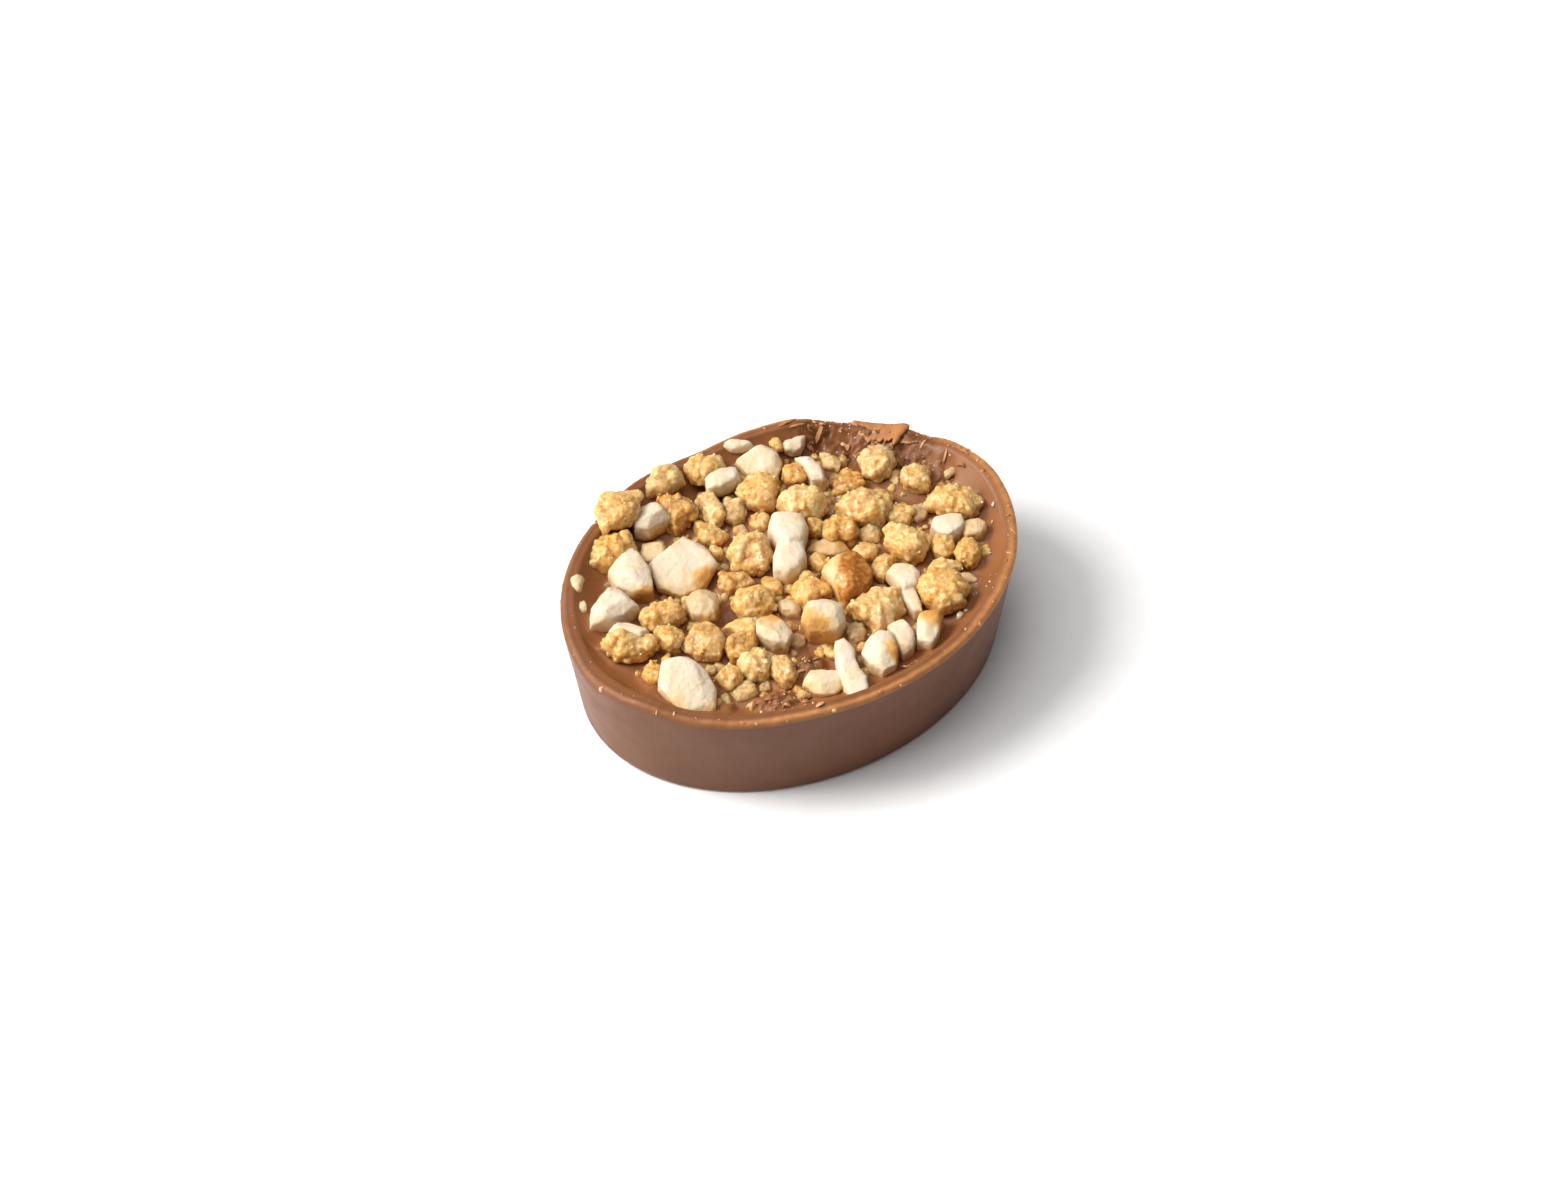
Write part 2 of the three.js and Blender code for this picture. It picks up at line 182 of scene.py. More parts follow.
# x, y, height, lift, outline, warmth from pale to brown, greyness
candiedRows = [
    (-9.4, 10.7, 2.2, 2.0, (1.6, 2.05, 1.45, 1.95, 1.97, 2.05, 1.25, 1.15), 0.5, 0.1),
    (-11.4, 8.5, 2.8, 0.2, (1.95, 1.9, 1.05, 1.8, 2.3, 2, 1.55, 1.2), 0.55, 0),
    (-4.6, 12.5, 2.5, 0.8, (1.75, 1.4, 1.37, 1.05, 1.55, 1.75, 1.1, 1.1), 0.35, 0.5),
    (-0.9, 12.3, 2.1, 0.6, (1.7, 1.6, 0.92, 1.5, 1.7, 1.55, 1.25, 0.95), 0.42, 0.1),
    (-5.1, 9.4, 2.8, 0.1, (1.75, 1.5, 1.4, 1.95, 1.5, 1.15, 1.45, 1.15), 0.75, 0),
    (-2.5, 8.4, 2.3, 0.2, (1.1, 1.02, 1.75, 1.6, 0.55, 0.55, 1.17, 1.25), 0.2, 0),
    (-0.8, 7.6, 2.1, 0, (1, 1, 1.1, 1.25, 0.8, 0.93, 1, 0.87), 0.35, 0.6),
    (1.7, 8, 2.8, 0, (1.3, 2, 1.7, 1.6, 1.77, 1.4, 1.25, 1.6), 0.52, 0.1),
    (5.1, 8.4, 2.1, 0.3, (1.1, 0.95, 1.15, 1.1, 0.92, 0.9, 0.8, 0.9), 0.7, 0),
    (4, 5.3, 3.2, 0.1, (2.05, 1.95, 1.4, 1.6, 2, 1.35, 1.2, 1.95), 0.28, 0),
    (-3.7, 6.6, 2.1, 0, (1.5, 0.85, 0.88, 1.65, 0.87, 0.78, 0.95, 1.25), 0.5, 0.2),
    (0.4, 5.9, 1.4, 0, (0.8, 0.95, 0.87, 0.95, 0.75, 0.6, 0.55, 0.7), 0.5, 0.3),
    (8.4, 8.4, 1.4, 0.2, (0.87, 0.85, 0.8, 1.1, 0.6, 0.45, 0.5, 1.1), 0.18, 0.3),
    (8.5, 6, 1.4, 0, (1.5, 1.4, 1.05, 1, 1.15, 1.05, 0.7, 1.1), 0.68, 0),
    (11.5, 6.4, 2.5, 0.1, (1.57, 1.5, 1.2, 1.3, 1.35, 1.4, 1.4, 1.45), 0.25, 0.2),
    (12.3, 4.8, 0.9, 0.1, (0.35, 0.75, 0.65, 0.6, 0.4, 0.4, 0.7, 0.6), 0.25, 0),
    (13.4, 3.4, 2.3, 0.1, (1.1, 1.6, 1, 1.3, 1.17, 1.05, 1.05, 1.4), 0.4, 0.3),
    (-14.8, -0.5, 2.6, 0.4, (2.35, 1.1, 0.95, 1.9, 1.95, 1.27, 1.1, 1.4), 0.48, 0.1),
    (-11.2, 1, 2.6, 0.2, (2, 1.95, 1.15, 0.95, 1.57, 1.57, 1, 1.2), 0.45, 0.1),
    (-11.7, -1.4, 2.6, 0, (1.25, 1.35, 1.4, 1.65, 0.95, 0.8, 0.85, 0.87), 0.5, 0),
    (-12.7, -3.2, 1.3, 0.3, (0.35, 0.45, 1.1, 0.65, 0.38, 0.38, 0.38, 0.35), 0.48, 0),
    (-9.3, -3.1, 2.5, 0, (1.47, 1.6, 1.9, 1.65, 1.6, 1.15, 1.1, 1.47), 0.58, 0.4),
    (-14.2, -3.5, 1.7, 0.2, (0.87, 0.9, 1.15, 1, 0.82, 0.7, 0.72, 0.8), 0.72, 0),
    (-7, -4.7, 2.4, 0.1, (1.15, 1.45, 1.35, 1.33, 1.35, 1.28, 1.07, 0.95), 0.75, 0),
    (-2, 3, 3, 0.1, (1.73, 1.85, 1.6, 1.5, 1.7, 1.72, 1.4, 1.75), 0.32, 0.1),
    (5.3, 1.7, 2.4, 0, (1.77, 1.5, 1.2, 1.45, 1.43, 1.2, 0.9, 1.2), 0.62, 0),
    (-4.2, -1.6, 2.6, 0.1, (1.82, 1.63, 1.53, 1.63, 1.77, 1.3, 1, 1.17), 0.45, 0),
    (-4.5, 1.3, 2, 0, (1.75, 1.35, 0.95, 1.55, 1.1, 0.75, 0.8, 0.9), 0.75, 0.3),
    (-1.9, -0.4, 1.7, 0, (0.8, 0.85, 0.95, 1.2, 0.67, 0.57, 0.6, 1), 0.62, 0.2),
    (-5.5, -2.9, 1.6, 0, (1.4, 1.35, 0.8, 1.15, 2, 0.85, 0.65, 0.75), 0.4, 0),
    (0.1, -2.5, 2.6, 0, (1.9, 1.3, 1.57, 1.3, 1.25, 1.3, 1.15, 1.15), 0.48, 0),
    (8.4, 2.6, 2.9, 0.1, (2.05, 2, 1.25, 1.6, 2.5, 1.6, 1.45, 1.85), 0.38, 0.1),
    (10.4, 0.9, 1.9, 0.2, (1.12, 1.07, 0.78, 1.35, 1.17, 1, 0.85, 1.05), 0.38, 0),
    (7.5, 0.4, 1.5, 0, (0.9, 1.05, 0.9, 0.95, 0.95, 0.75, 0.6, 0.75), 0.55, 0.6),
    (6.3, -1, 1.8, 0, (0.87, 0.98, 0.93, 1, 1.02, 0.75, 0.75, 0.87), 0.28, 0.3),
    (9.2, -2.2, 3, 0.1, (1.8, 1.35, 1.4, 2.05, 1.6, 1.15, 1.4, 1.8), 0.35, 0),
    (6.5, -3.3, 2, 0.1, (0.6, 1.3, 1.3, 1, 0.93, 0.9, 0.93, 0.65), 0.4, 0),
    (14.7, -0.6, 2.8, 0.2, (2.15, 1.62, 1.45, 2, 2.2, 1.25, 1, 1.8), 0.4, 0),
    (11.8, -3.7, 2.3, 0.1, (0.75, 1.2, 1.2, 1.1, 0.95, 0.95, 1.15, 1), 0.38, 0),
    (13, -5.5, 2.2, 0.2, (0.95, 1.3, 1.4, 1.25, 1.05, 1, 0.8, 0.85), 0.6, 0),
    (14.6, -5.6, 1, 0.3, (0.5, 0.55, 0.5, 0.7, 0.55, 0.5, 0.55, 0.5), 0.5, 0),
    (-9.2, -6.7, 2, 0, (0.9, 1, 1.27, 1.05, 1.15, 0.85, 0.9, 0.85), 0.45, 0.1),
    (-7, -6.5, 2.5, 0, (1.37, 1.38, 1.25, 0.97, 1.25, 1.27, 1, 1.42), 0.25, 0),
    (-10.4, -8.1, 1.1, 0.1, (0.55, 0.5, 0.7, 0.63, 0.5, 0.5, 0.73, 0.82), 0.4, 0.7),
    (-8.4, -8.2, 1.2, 0, (0.7, 0.7, 0.75, 0.85, 1.4, 1.15, 0.75, 0.75), 0.5, 0.7),
    (-5.2, -8.2, 2.2, 0, (0.9, 1, 1.25, 1.37, 1, 1, 1.1, 1.1), 0.48, 0.5),
    (-1, -8, 1.2, 0, (0.55, 0.45, 0.5, 0.95, 0.42, 0.4, 0.5, 1.2), 0.6, 0.2),
    (4.2, -6.7, 2.8, 0, (2, 2.2, 1.7, 1.3, 2.6, 1.45, 1.65, 1.4), 0.28, 0),
    (9.3, -7.6, 3.3, 0.1, (2.1, 1.7, 1.4, 1.6, 1.92, 1.75, 1.9, 2), 0.5, 0),
    (5.3, 11.8, 1.2, 1, (0.43, 0.5, 0.45, 0.55, 0.6, 0.42, 0.65, 0.7), 0.45, 0),
    (10.7, -5.4, 1.9, 0.1, (1.4, 0.8, 0.7, 0.9, 1.1, 0.85, 0.75, 1.2), 0.3, 0),
    (2.4, -0.2, 2.2, 0.1, (1, 0.75, 0.8, 0.75, 0.8, 0.7, 0.85, 1.2), 0.5, 0),
    (3.9, 2.9, 2.2, 0.2, (0.7, 0.75, 0.85, 0.7, 0.65, 0.65, 0.85, 0.75), 0.6, 0),
    (-4.1, 4.7, 1.9, 0.2, (0.6, 0.5, 0.6, 0.65, 0.6, 0.5, 0.6, 0.75), 0.35, 0),
]

# x, y, height, tilt, lift, bluntness, outline, tan tone, greyness
nutRows = [
    (-7.4, 9.6, 2.7, 0, 0.5, 3, (1.7, 1.45, 1.2, 1.1, 1.3, 1.6, 1.3, 1), 0.08, 0),
    (-11.1, 5.7, 2.8, 0, 0.2, 4, (1.4, 1.15, 2.07, 1.68, 1.8, 1.7, 1.8, 2.4), 0.05, 0),
    (-8.3, 7, 1.8, 0, 0, 3, (1.1, 1, 1.02, 1.33, 1.3, 1.1, 0.8, 0.9), 0.1, 0.2),
    (-7.2, 4.6, 1.6, 16, 0.7, 7, (2.65, 2.25, 2.25, 1.6, 2.65, 2.6, 2.4, 2.4), 0.08, 0),
    (2.5, 12.95, 1.1, 0, 1.3, 3, (1.22, 0.6, 0.53, 0.8, 1.2, 0.65, 0.52, 0.6), 0.1, 0.1),
    (-0.4, 10.5, 1.8, 0, 0.8, 4, (1.55, 1.6, 0.8, 0.75, 1.3, 1.6, 1, 0.95), 0.08, 0),
    (3.4, 10.8, 1.8, 12, 0.4, 6, (1.75, 1.5, 1.5, 1.22, 2, 1.45, 1.1, 1.75), 0.12, 0),
    (6.4, 7.9, 2.2, 0, 0.3, 3, (0.85, 0.62, 1.04, 1.9, 0.55, 0.55, 1.15, 1.7), 0.08, 0),
    (6.55, 11.1, 1.5, 0, 0.7, 3, (0.85, 1.4, 0.5, 0.6, 0.95, 0.9, 0.8, 0.85), 0.05, 0.2),
    (-14.3, 3.2, 2.9, 0, 0.3, 3, (2.1, 1.45, 1.88, 1.28, 1.53, 2.2, 1.3, 1.3), 0.02, 0),
    (-14.2, 0.3, 2.5, 0, 0.6, 3, (1.6, 0.75, 0.82, 1.2, 1.6, 0.7, 0.6, 1.2), 0.05, 0),
    (-7.9, 0.1, 2.4, 0, 0, 3.5, (1.35, 1.6, 1.6, 1.5, 1.2, 1.1, 0.95, 1.45), 0.45, 0.4),
    (1.6, 3.2, 3, 0, 0.2, 2.6, (1.55, 1.6, 1.42, 1.7, 1.55, 1.5, 1.75, 1.7), 0.05, 0),
    (0.1, 0.7, 2.6, 0, 0.3, 2.6, (1.5, 1.8, 1.75, 1.3, 1.1, 1.45, 1.42, 1.35), 0.05, 0),
    (3.8, 0.8, 1.6, 0, 0, 4, (1.75, 1.35, 0.85, 1, 1.6, 0.95, 0.75, 1.1), 0.25, 0.1),
    (3.4, -2.8, 3, 0, 0.2, 3, (2.05, 1.87, 1.66, 1.6, 1.9, 1.45, 2.2, 2), 0.6, 0),
    (-4.3, -4.9, 2.4, 0, 0.1, 4, (1.45, 1.25, 1.65, 1.75, 1.25, 0.88, 1, 1.45), 0.05, 0.2),
    (12.9, -2.4, 2.2, 0, 0.2, 7, (1.4, 1.55, 1.1, 1.25, 1.35, 1.05, 1, 1.15), 0.08, 0),
    (14.6, -3.6, 1.8, 0, 0.3, 5, (1.1, 1.2, 1, 1.3, 1.05, 0.85, 0.6, 0.95), 0.45, 0.3),
    (-12.7, -6.4, 1.5, 22, 1, 7, (2.1, 1.9, 2.5, 2.85, 2.25, 1.85, 2.2, 2.85), 0.05, 0),
    (-0.4, -6, 3, 0, 0.1, 4, (1.65, 1.95, 1.75, 1.9, 1.8, 1.65, 1.2, 1.45), 0.12, 0),
    (-1.1, -11.6, 1.8, 0, 0.4, 4, (1.1, 0.8, 2, 1.85, 0.95, 1, 2.1, 1.8), 0.05, 0),
    (-0.5, -9.2, 1.5, 0, 0.8, 4, (0.85, 0.75, 1.05, 0.95, 0.75, 0.8, 1.3, 1.2), 0.05, 0),
    (-3.1, -10.9, 1.6, 14, 0.3, 4, (1.58, 1.53, 1.18, 1.68, 1.76, 1.12, 0.95, 1.1), 0.12, 0),
    (2, -10.9, 2.6, 0, 0.2, 3, (1.2, 1.6, 1.95, 1.5, 1.6, 1.32, 1.5, 1.36), 0.1, 0),
    (4.1, -10.4, 2.3, 0, 0.2, 3, (0.96, 1.1, 1.8, 1.65, 0.65, 0.65, 1.26, 1.1), 0.1, 0.1),
    (6.5, -10.7, 2.2, 0, 0.5, 3, (0.7, 1.42, 1.55, 1.42, 1.1, 1.55, 1.4, 0.8), 0.15, 0),
    (7.3, -5.1, 1.9, 0, 0.8, 2.6, (1.3, 1, 0.85, 1.08, 1.33, 1, 1.4, 1.45), 0.1, 0),
    (6.7, -7.7, 1.8, 0, 0.3, 3, (0.6, 0.6, 1.8, 1.9, 0.6, 0.55, 0.8, 1), 0.15, 0.1),
    (-15.7, 6.3, 0.9, 0, 2, 3, (0.45, 0.82, 0.9, 0.68, 0.35, 0.33, 0.52, 0.55), 0.4, 0.3),
    (-1.8, -2.9, 1.5, 0, 0, 3, (0.9, 0.85, 0.85, 1.2, 0.9, 0.7, 0.6, 0.8), 0.1, 0.3),
    (-2.7, -5.9, 1.3, 0, 0, 3, (0.7, 0.65, 0.7, 0.7, 0.75, 0.7, 0.7, 0.65), 0.5, 0.8),
    (1.7, -7.5, 1.5, 0, 0, 3, (0.72, 0.75, 0.95, 0.9, 0.8, 0.8, 0.8, 0.7), 0.6, 1),
    (12, 0.6, 1.4, 0, 0, 3, (0.9, 0.8, 0.65, 0.75, 0.5, 0.65, 0.9, 0.75), 0.6, 0.9),
    (12.2, -7.4, 1, 0, 0.3, 3, (0.6, 0.45, 0.5, 1.1, 0.85, 0.5, 0.42, 0.5), 0.4, 0.5),
    (-1.3, 6.1, 1, 0, 0, 3, (0.87, 0.7, 0.63, 0.63, 0.53, 0.53, 0.55, 0.65), 0.2, 0.5),
]

# Toasted patches: nut, way round it, height on it, reach, strength
toastRows = [
    (0, -75, -30, 0.7, 0.3), (11, -70, 0, 0.9, 0.5), (1, -80, -10, 0.9, 0.9), (3, -65, 18, 0.5, 0.6),
    (6, -5, 0, 0.7, 0.5), (7, -60, 0, 0.6, 0.3), (12, -60, 10, 0.5, 0.25), (14, 10, 20, 0.8, 0.4),
    (16, 80, 40, 0.9, 0.6), (18, -60, 0, 0.9, 0.3), (19, -160, 0, 0.5, 0.35), (20, -160, 15, 1.1, 0.75),
    (23, -20, 0, 0.5, 0.35), (24, -35, 35, 0.6, 0.9), (26, 30, 30, 1.1, 0.75), (26, -100, -35, 0.7, 0.6),
    (28, 180, 0, 0.7, 0.3),
]
skinnedNut = {"nut": 15, "facing": (-50, 20), "edge": (-0.1, 0.05), "ragged": 0.3}

# Chips too small for the solid: x, y, length, width, height, turn, tan tone, greyness
chipRows = [
    (-16.0, 4.7, 1.2, 0.7, 0.8, 70, 0.05, 0), (-11.3, 11.1, 0.9, 0.7, 0.6, 0, 0.1, 0.5),
    (9.47, -10.12, 0.9, 0.55, 0.7, 30, 0, 0), (10.1, -10.0, 0.5, 0.4, 0.5, 0, 0.1, 0),
    (16.2, 2.65, 1.2, 0.8, 0.6, 10, 0.1, 0.35), (17.2, -2.34, 0.6, 0.4, 0.4, 60, 0.1, 0.3),
    (16.4, -3.5, 0.5, 0.25, 0.3, 40, 0, 0.1), (-5.5, 0.8, 1.0, 0.7, 0.8, 20, 0.1, 0.4),
    (-8.7, -10.8, 0.4, 0.4, 0.4, 0, 0, 0), (-4.7, -8.6, 0.7, 0.5, 0.6, 60, 0.1, 0.4),
    (-1.6, 4.9, 0.8, 0.5, 0.6, 10, 0.1, 0.4), (11.0, -8.6, 0.9, 0.6, 0.7, 40, 0.5, 0.4),
    (0.9, -8.9, 0.6, 0.5, 0.5, 0, 0.05, 0.5), (-3.4, 0.2, 0.8, 0.5, 0.5, 30, 0.4, 0.4),
]
chips = {"bluntness": 3, "sunk": 0.25}


def insetAt(x, y):
    # distance inside the rim's outline
    return bodySizes["width"] / 2 - math.hypot(x * bodySizes["width"] / bodySizes["length"], y)


def floorAt(x, y):
    # height of the slope or floor of the hollow
    run = min(1, max(0, (insetAt(x, y) - bodySizes["crestWidth"]) / bodySizes["slopeWidth"]))
    return bodySizes["rimHeight"] - bodySizes["hollowDepth"] * run * (2 - run)


def chipRow(x, y, length, width, height, turn, tone, grey):
    ways = np.radians(np.arange(8) * 45 - turn + lie["outlineStart"])
    outline = 1 / np.hypot(np.cos(ways) / (length / 2), np.sin(ways) / (width / 2))
    lift = floorAt(x, y) - floorHeight + lie["sink"] - height * chips["sunk"]
    return (x, y, height, 0, lift, chips["bluntness"], tuple(outline), tone, grey)


nutRows = [(*row[:6], tuple(reach * lie["nutSpread"] for reach in row[6]), *row[7:]) for row in nutRows]
nutRows += [chipRow(*row) for row in chipRows]


def placing(x, y, height, tilt, lift):
    middle = floorHeight - lie["sink"] + lift + height / 2
    turn = Matrix.Rotation(math.radians(lie["outlineStart"]), 4, "Z")
    return Matrix.Translation((x, y, middle)) @ turn @ Matrix.Rotation(math.radians(tilt), 4, "X")


def viewStretch(outline, height, tilt):
    # how much deeper than it looks a piece is, seen from above the table
    view = math.radians(lie["outlineView"] + tilt)
    side = math.cos(view) * height / (outline[2] + outline[6])
    return math.sqrt(max(lie["flattest"], 1 - side * side)) / math.sin(view)


def outlineReach(outline, way):
    # straight from corner to corner of the outline
    corners = np.array(outline)
    step = 2 * math.pi / len(corners)
    place = (way / step) % len(corners)
    first = np.floor(place).astype(int) % len(corners)
    near, far = corners[first], corners[(first + 1) % len(corners)]
    share = (place - np.floor(place)) * step
    return near * far * math.sin(step) / (near * np.sin(share) + far * np.sin(step - share))


def pieceSkin(ball, outline, height, tilt, bluntness):
    # ball drawn out to a piece's outline and height
    way = np.arctan2(ball[:, 1], ball[:, 0])
    across = np.hypot(ball[:, 0], ball[:, 1]) ** (2 / bluntness) * outlineReach(outline, way)
    up = np.sign(ball[:, 2]) * np.abs(ball[:, 2]) ** (2 / bluntness)
    depth = across * np.sin(way) * viewStretch(outline, height, tilt)
    return np.stack([across * np.cos(way), depth, up * height / 2], 1)


def outlineAway(points, x, y, outline, stretch):
    # distance outside a piece's outline, below 0 under it
    turn = math.radians(lie["outlineStart"])
    u = (points[:, 0] - x) * math.cos(turn) + (points[:, 1] - y) * math.sin(turn)
    v = ((points[:, 1] - y) * math.cos(turn) - (points[:, 0] - x) * math.sin(turn)) / stretch
    return np.hypot(u, v) - outlineReach(outline, np.arctan2(v, u))


def spreadOutline(outline):
    return [reach * lie["crumbSpread"] for reach in outline]


# Small bits in the narrow gaps between the pieces

gapBits = {
    "tries": 5000, "most": 170, "nearest": 0.6, "second": 1.25, "apart": 0.65, "inset": 2.6,
    "reach": (0.2, 0.52), "uneven": (0.7, 1.3), "tall": (1.5, 2.5), "sunk": 0.3,
    "warmth": (0.35, 0.85), "greyness": (0, 0.9),
}


def setPieces():
    # place, outline, height and tilt of every crumb and nut piece
    shapes = [(r[0], r[1], spreadOutline(r[4]), r[2], 0) for r in candiedRows]
    return shapes + [(r[0], r[1], r[6], r[2], r[3]) for r in nutRows]


def gapPlaces():
    half = np.array((bodySizes["length"], bodySizes["width"])) / 2
    tries = np.array([(chance(i, 1), chance(i, 2)) for i in range(gapBits["tries"])]) * 2 - 1
    tries = tries[(1 - np.hypot(tries[:, 0], tries[:, 1])) * half[1] > gapBits["inset"]] * half
    away = [outlineAway(tries, x, y, outline, viewStretch(outline, tall, tilt))
            for x, y, outline, tall, tilt in setPieces()]
    nearest, second = np.sort(away, 0)[:2]
    return tries[(nearest > 0) & (nearest < gapBits["nearest"]) & (second < gapBits["second"])]


def gapRows():
    rows = []
    for x, y in gapPlaces():
        n = len(rows)
        if n >= gapBits["most"] or any(math.hypot(x - r[0], y - r[1]) < gapBits["apart"] for r in rows):
            continue
        reach = pick(gapBits["reach"], chance(n, 3))
        outline = tuple(reach * pick(gapBits["uneven"], chance(n, 10 + k)) for k in range(8))
        height = reach * pick(gapBits["tall"], chance(n, 4))
        lift = floorAt(x, y) - floorHeight + lie["sink"] - height * gapBits["sunk"]
        warmth, grey = pick(gapBits["warmth"], chance(n, 5)), pick(gapBits["greyness"], chance(n, 6))
        rows.append((x, y, height, lift, outline, warmth, grey))
    return rows


placedCrumbs = len(candiedRows)
candiedRows += gapRows()


# Each piece is fused in a cell of its own, then moved to its place
cellWidth = 13.0
cellsAcross = 15


def cellMiddle(index):
    return np.array(((index % cellsAcross) * cellWidth, (index // cellsAcross) * cellWidth, 0.0))


def cellIndex(points):
    columns = np.rint(points[:, 0] / cellWidth).astype(int)
    rows = np.rint(points[:, 1] / cellWidth).astype(int)
    return rows * cellsAcross + columns


def fromCells(points, index, matrices):
    placed = np.empty_like(points)
    for i, matrix in enumerate(matrices):
        chosen = index == i
        turn = np.array(matrix.to_3x3())
        placed[chosen] = (points[chosen] - cellMiddle(i)) @ turn.T + np.array(matrix.translation)
    return placed


def worldDirections(points, index, count):
    # unit directions from each piece's own middle, about as long as wide
    out = np.empty_like(points)
    for i in range(count):
        chosen = index == i
        if not chosen.any():
            continue
        offset = points[chosen] - points[chosen].mean(0)
        offset = offset / np.maximum(np.abs(offset).max(0), 1e-6)
        out[chosen] = offset / np.maximum(np.linalg.norm(offset, axis=1, keepdims=True), 1e-6)
    return out


def facing(azimuth, height):
    a, h = math.radians(azimuth), math.radians(height)
    return np.array((math.cos(a) * math.cos(h), math.sin(a) * math.cos(h), math.sin(h)))


def ballMesh(segments):
    bm = bmesh.new()
    bmesh.ops.create_uvsphere(bm, u_segments=segments, v_segments=segments // 2, radius=1)
    return bmeshToMesh(bm, "ball")


def addSkin(bm, mesh, points):
    writePoints(mesh, points)
    bm.from_mesh(mesh)


# Flat chops across a piece, each a way it faces and how far out it lies

def flatPlanes(skin, piece, cuts):
    planes = []
    for i in range(cuts["flats"]):
        azimuth = 360 * (i + chance(piece, i + 50)) / cuts["flats"]
        height = max(0, cuts["flatLow"] + (cuts["flatHigh"] - cuts["flatLow"]) * chance(piece, i + 60))
        way = facing(azimuth, height)
        near = cuts["flatNear"] + cuts["flatVary"] * chance(piece, i + 70)
        deep = (1 - near) * math.sin(math.radians(height))
        planes.append((way, (skin @ way).max() * (1 - deep)))
    return planes


def pressed(points, planes):
    for way, edge in planes:
        points = points - np.clip(points @ way - edge, 0, None)[:, None] * way
    return points


# Candied crumbs: a core with flat chops, and rounded knobs over most of it

candied = {
    "ballSides": 48, "knobSides": 14, "voxel": 0.105, "keep": 0.46, "core": 0.89, "rimInset": 0.25,
    "knobsPerReach": 21, "fewestKnobs": 9, "usualReach": 1.5, "smallerKnobs": 0.6, "knobStray": 1.5,
    "knobSize": (0.22, 0.62), "mostlySmall": 1.4, "knobIn": (0.45, 0.92), "knobUneven": 0.35,
    "bareScale": 0.8, "bareAbove": 0.16, "bareShift": 7.3,
    "flats": 7, "flatLow": -5, "flatHigh": 80, "flatNear": 0.7, "flatVary": 0.24,
    "swellScale": 0.75, "swellHeight": 0.14, "grainScale": 2.8, "grainHeight": 0.13, "grainLevel": 0.42,
    "fineScale": 6.5, "fineHeight": 0.03,
}
crumbTone = {
    "paler": 0.06, "patchScale": 0.7, "patchWarmth": 0.22, "greyScale": 0.55, "greyFade": (0.15, 0.5),
    "greyPatch": 0.35, "lowBelow": 1.4, "lowReach": 1.6, "lowShadeWarmth": 0.3, "lowShadeGrey": 0.15,
    "hollowRounds": 5, "hollowDepth": 0.06,
}


def knobWays(count, piece):
    # spread evenly over a ball, each turned a little
    steps = np.arange(count)
    up = 1 - 2 * (steps + 0.5) / count
    level = np.sqrt(1 - up * up)
    stray = np.array([chance(piece, i + 40) for i in steps])
    angle = goldenAngle * steps + candied["knobStray"] * stray
    return np.stack([level * np.cos(angle), level * np.sin(angle), up], 1)


def addCrumb(bm, ball, ballPoints, knob, knobPoints, piece, row):
    outline, height = spreadOutline(row[4]), row[2]
    middle = cellMiddle(piece)
    blunt = lie["crumbBluntness"]
    skin = pieceSkin(ballPoints, outline, height, 0, blunt) * candied["core"]
    planes = flatPlanes(skin, piece, candied)
    addSkin(bm, ball, pressed(skin, planes) + middle)
    reach = np.mean(outline)
    count = max(candied["fewestKnobs"], round(candied["knobsPerReach"] * reach * reach))
    places = pieceSkin(knobWays(count, piece), outline, height, 0, blunt) * candied["core"]
    size = min(1, reach / candied["usualReach"]) ** candied["smallerKnobs"]
    shift = Vector((piece * candied["bareShift"], 0, 0))
    for i, place in enumerate(pressed(places, planes)):
        if noise.noise(Vector(place) * candied["bareScale"] + shift) > candied["bareAbove"]:
            continue
        radius = size * pick(candied["knobSize"], chance(piece, i + 180) ** candied["mostlySmall"])
        away = place / max(np.linalg.norm(place), 1e-6)
        centre = place - away * radius * pick(candied["knobIn"], chance(piece, i + 280))
        uneven = np.array([chance(piece, i + 380 + 100 * axis) for axis in range(3)]) * 2 - 1
        addSkin(bm, knob, knobPoints * radius * (1 + candied["knobUneven"] * uneven) + centre + middle)


def crumbRise(points):
    rise = candied["swellHeight"] * noiseField(points, candied["swellScale"])
    grain = grainField(points, candied["grainScale"], seed=3.1)
    rise += candied["grainHeight"] * (candied["grainLevel"] - grain)
    return rise + candied["fineHeight"] * noiseField(points, candied["fineScale"], seed=7.7)


def onRim(points):
    # what reaches over the rim lies on it
    across = points[:, 0] * bodySizes["width"] / bodySizes["length"]
    inset = bodySizes["width"] / 2 - np.hypot(across, points[:, 1])
    top = bodySizes["rimHeight"] + rimSwell(np.degrees(np.arctan2(points[:, 1], across)) % 360)
    points = points.copy()
    points[:, 2] = np.where(inset < candied["rimInset"], np.maximum(points[:, 2], top), points[:, 2])
    return points


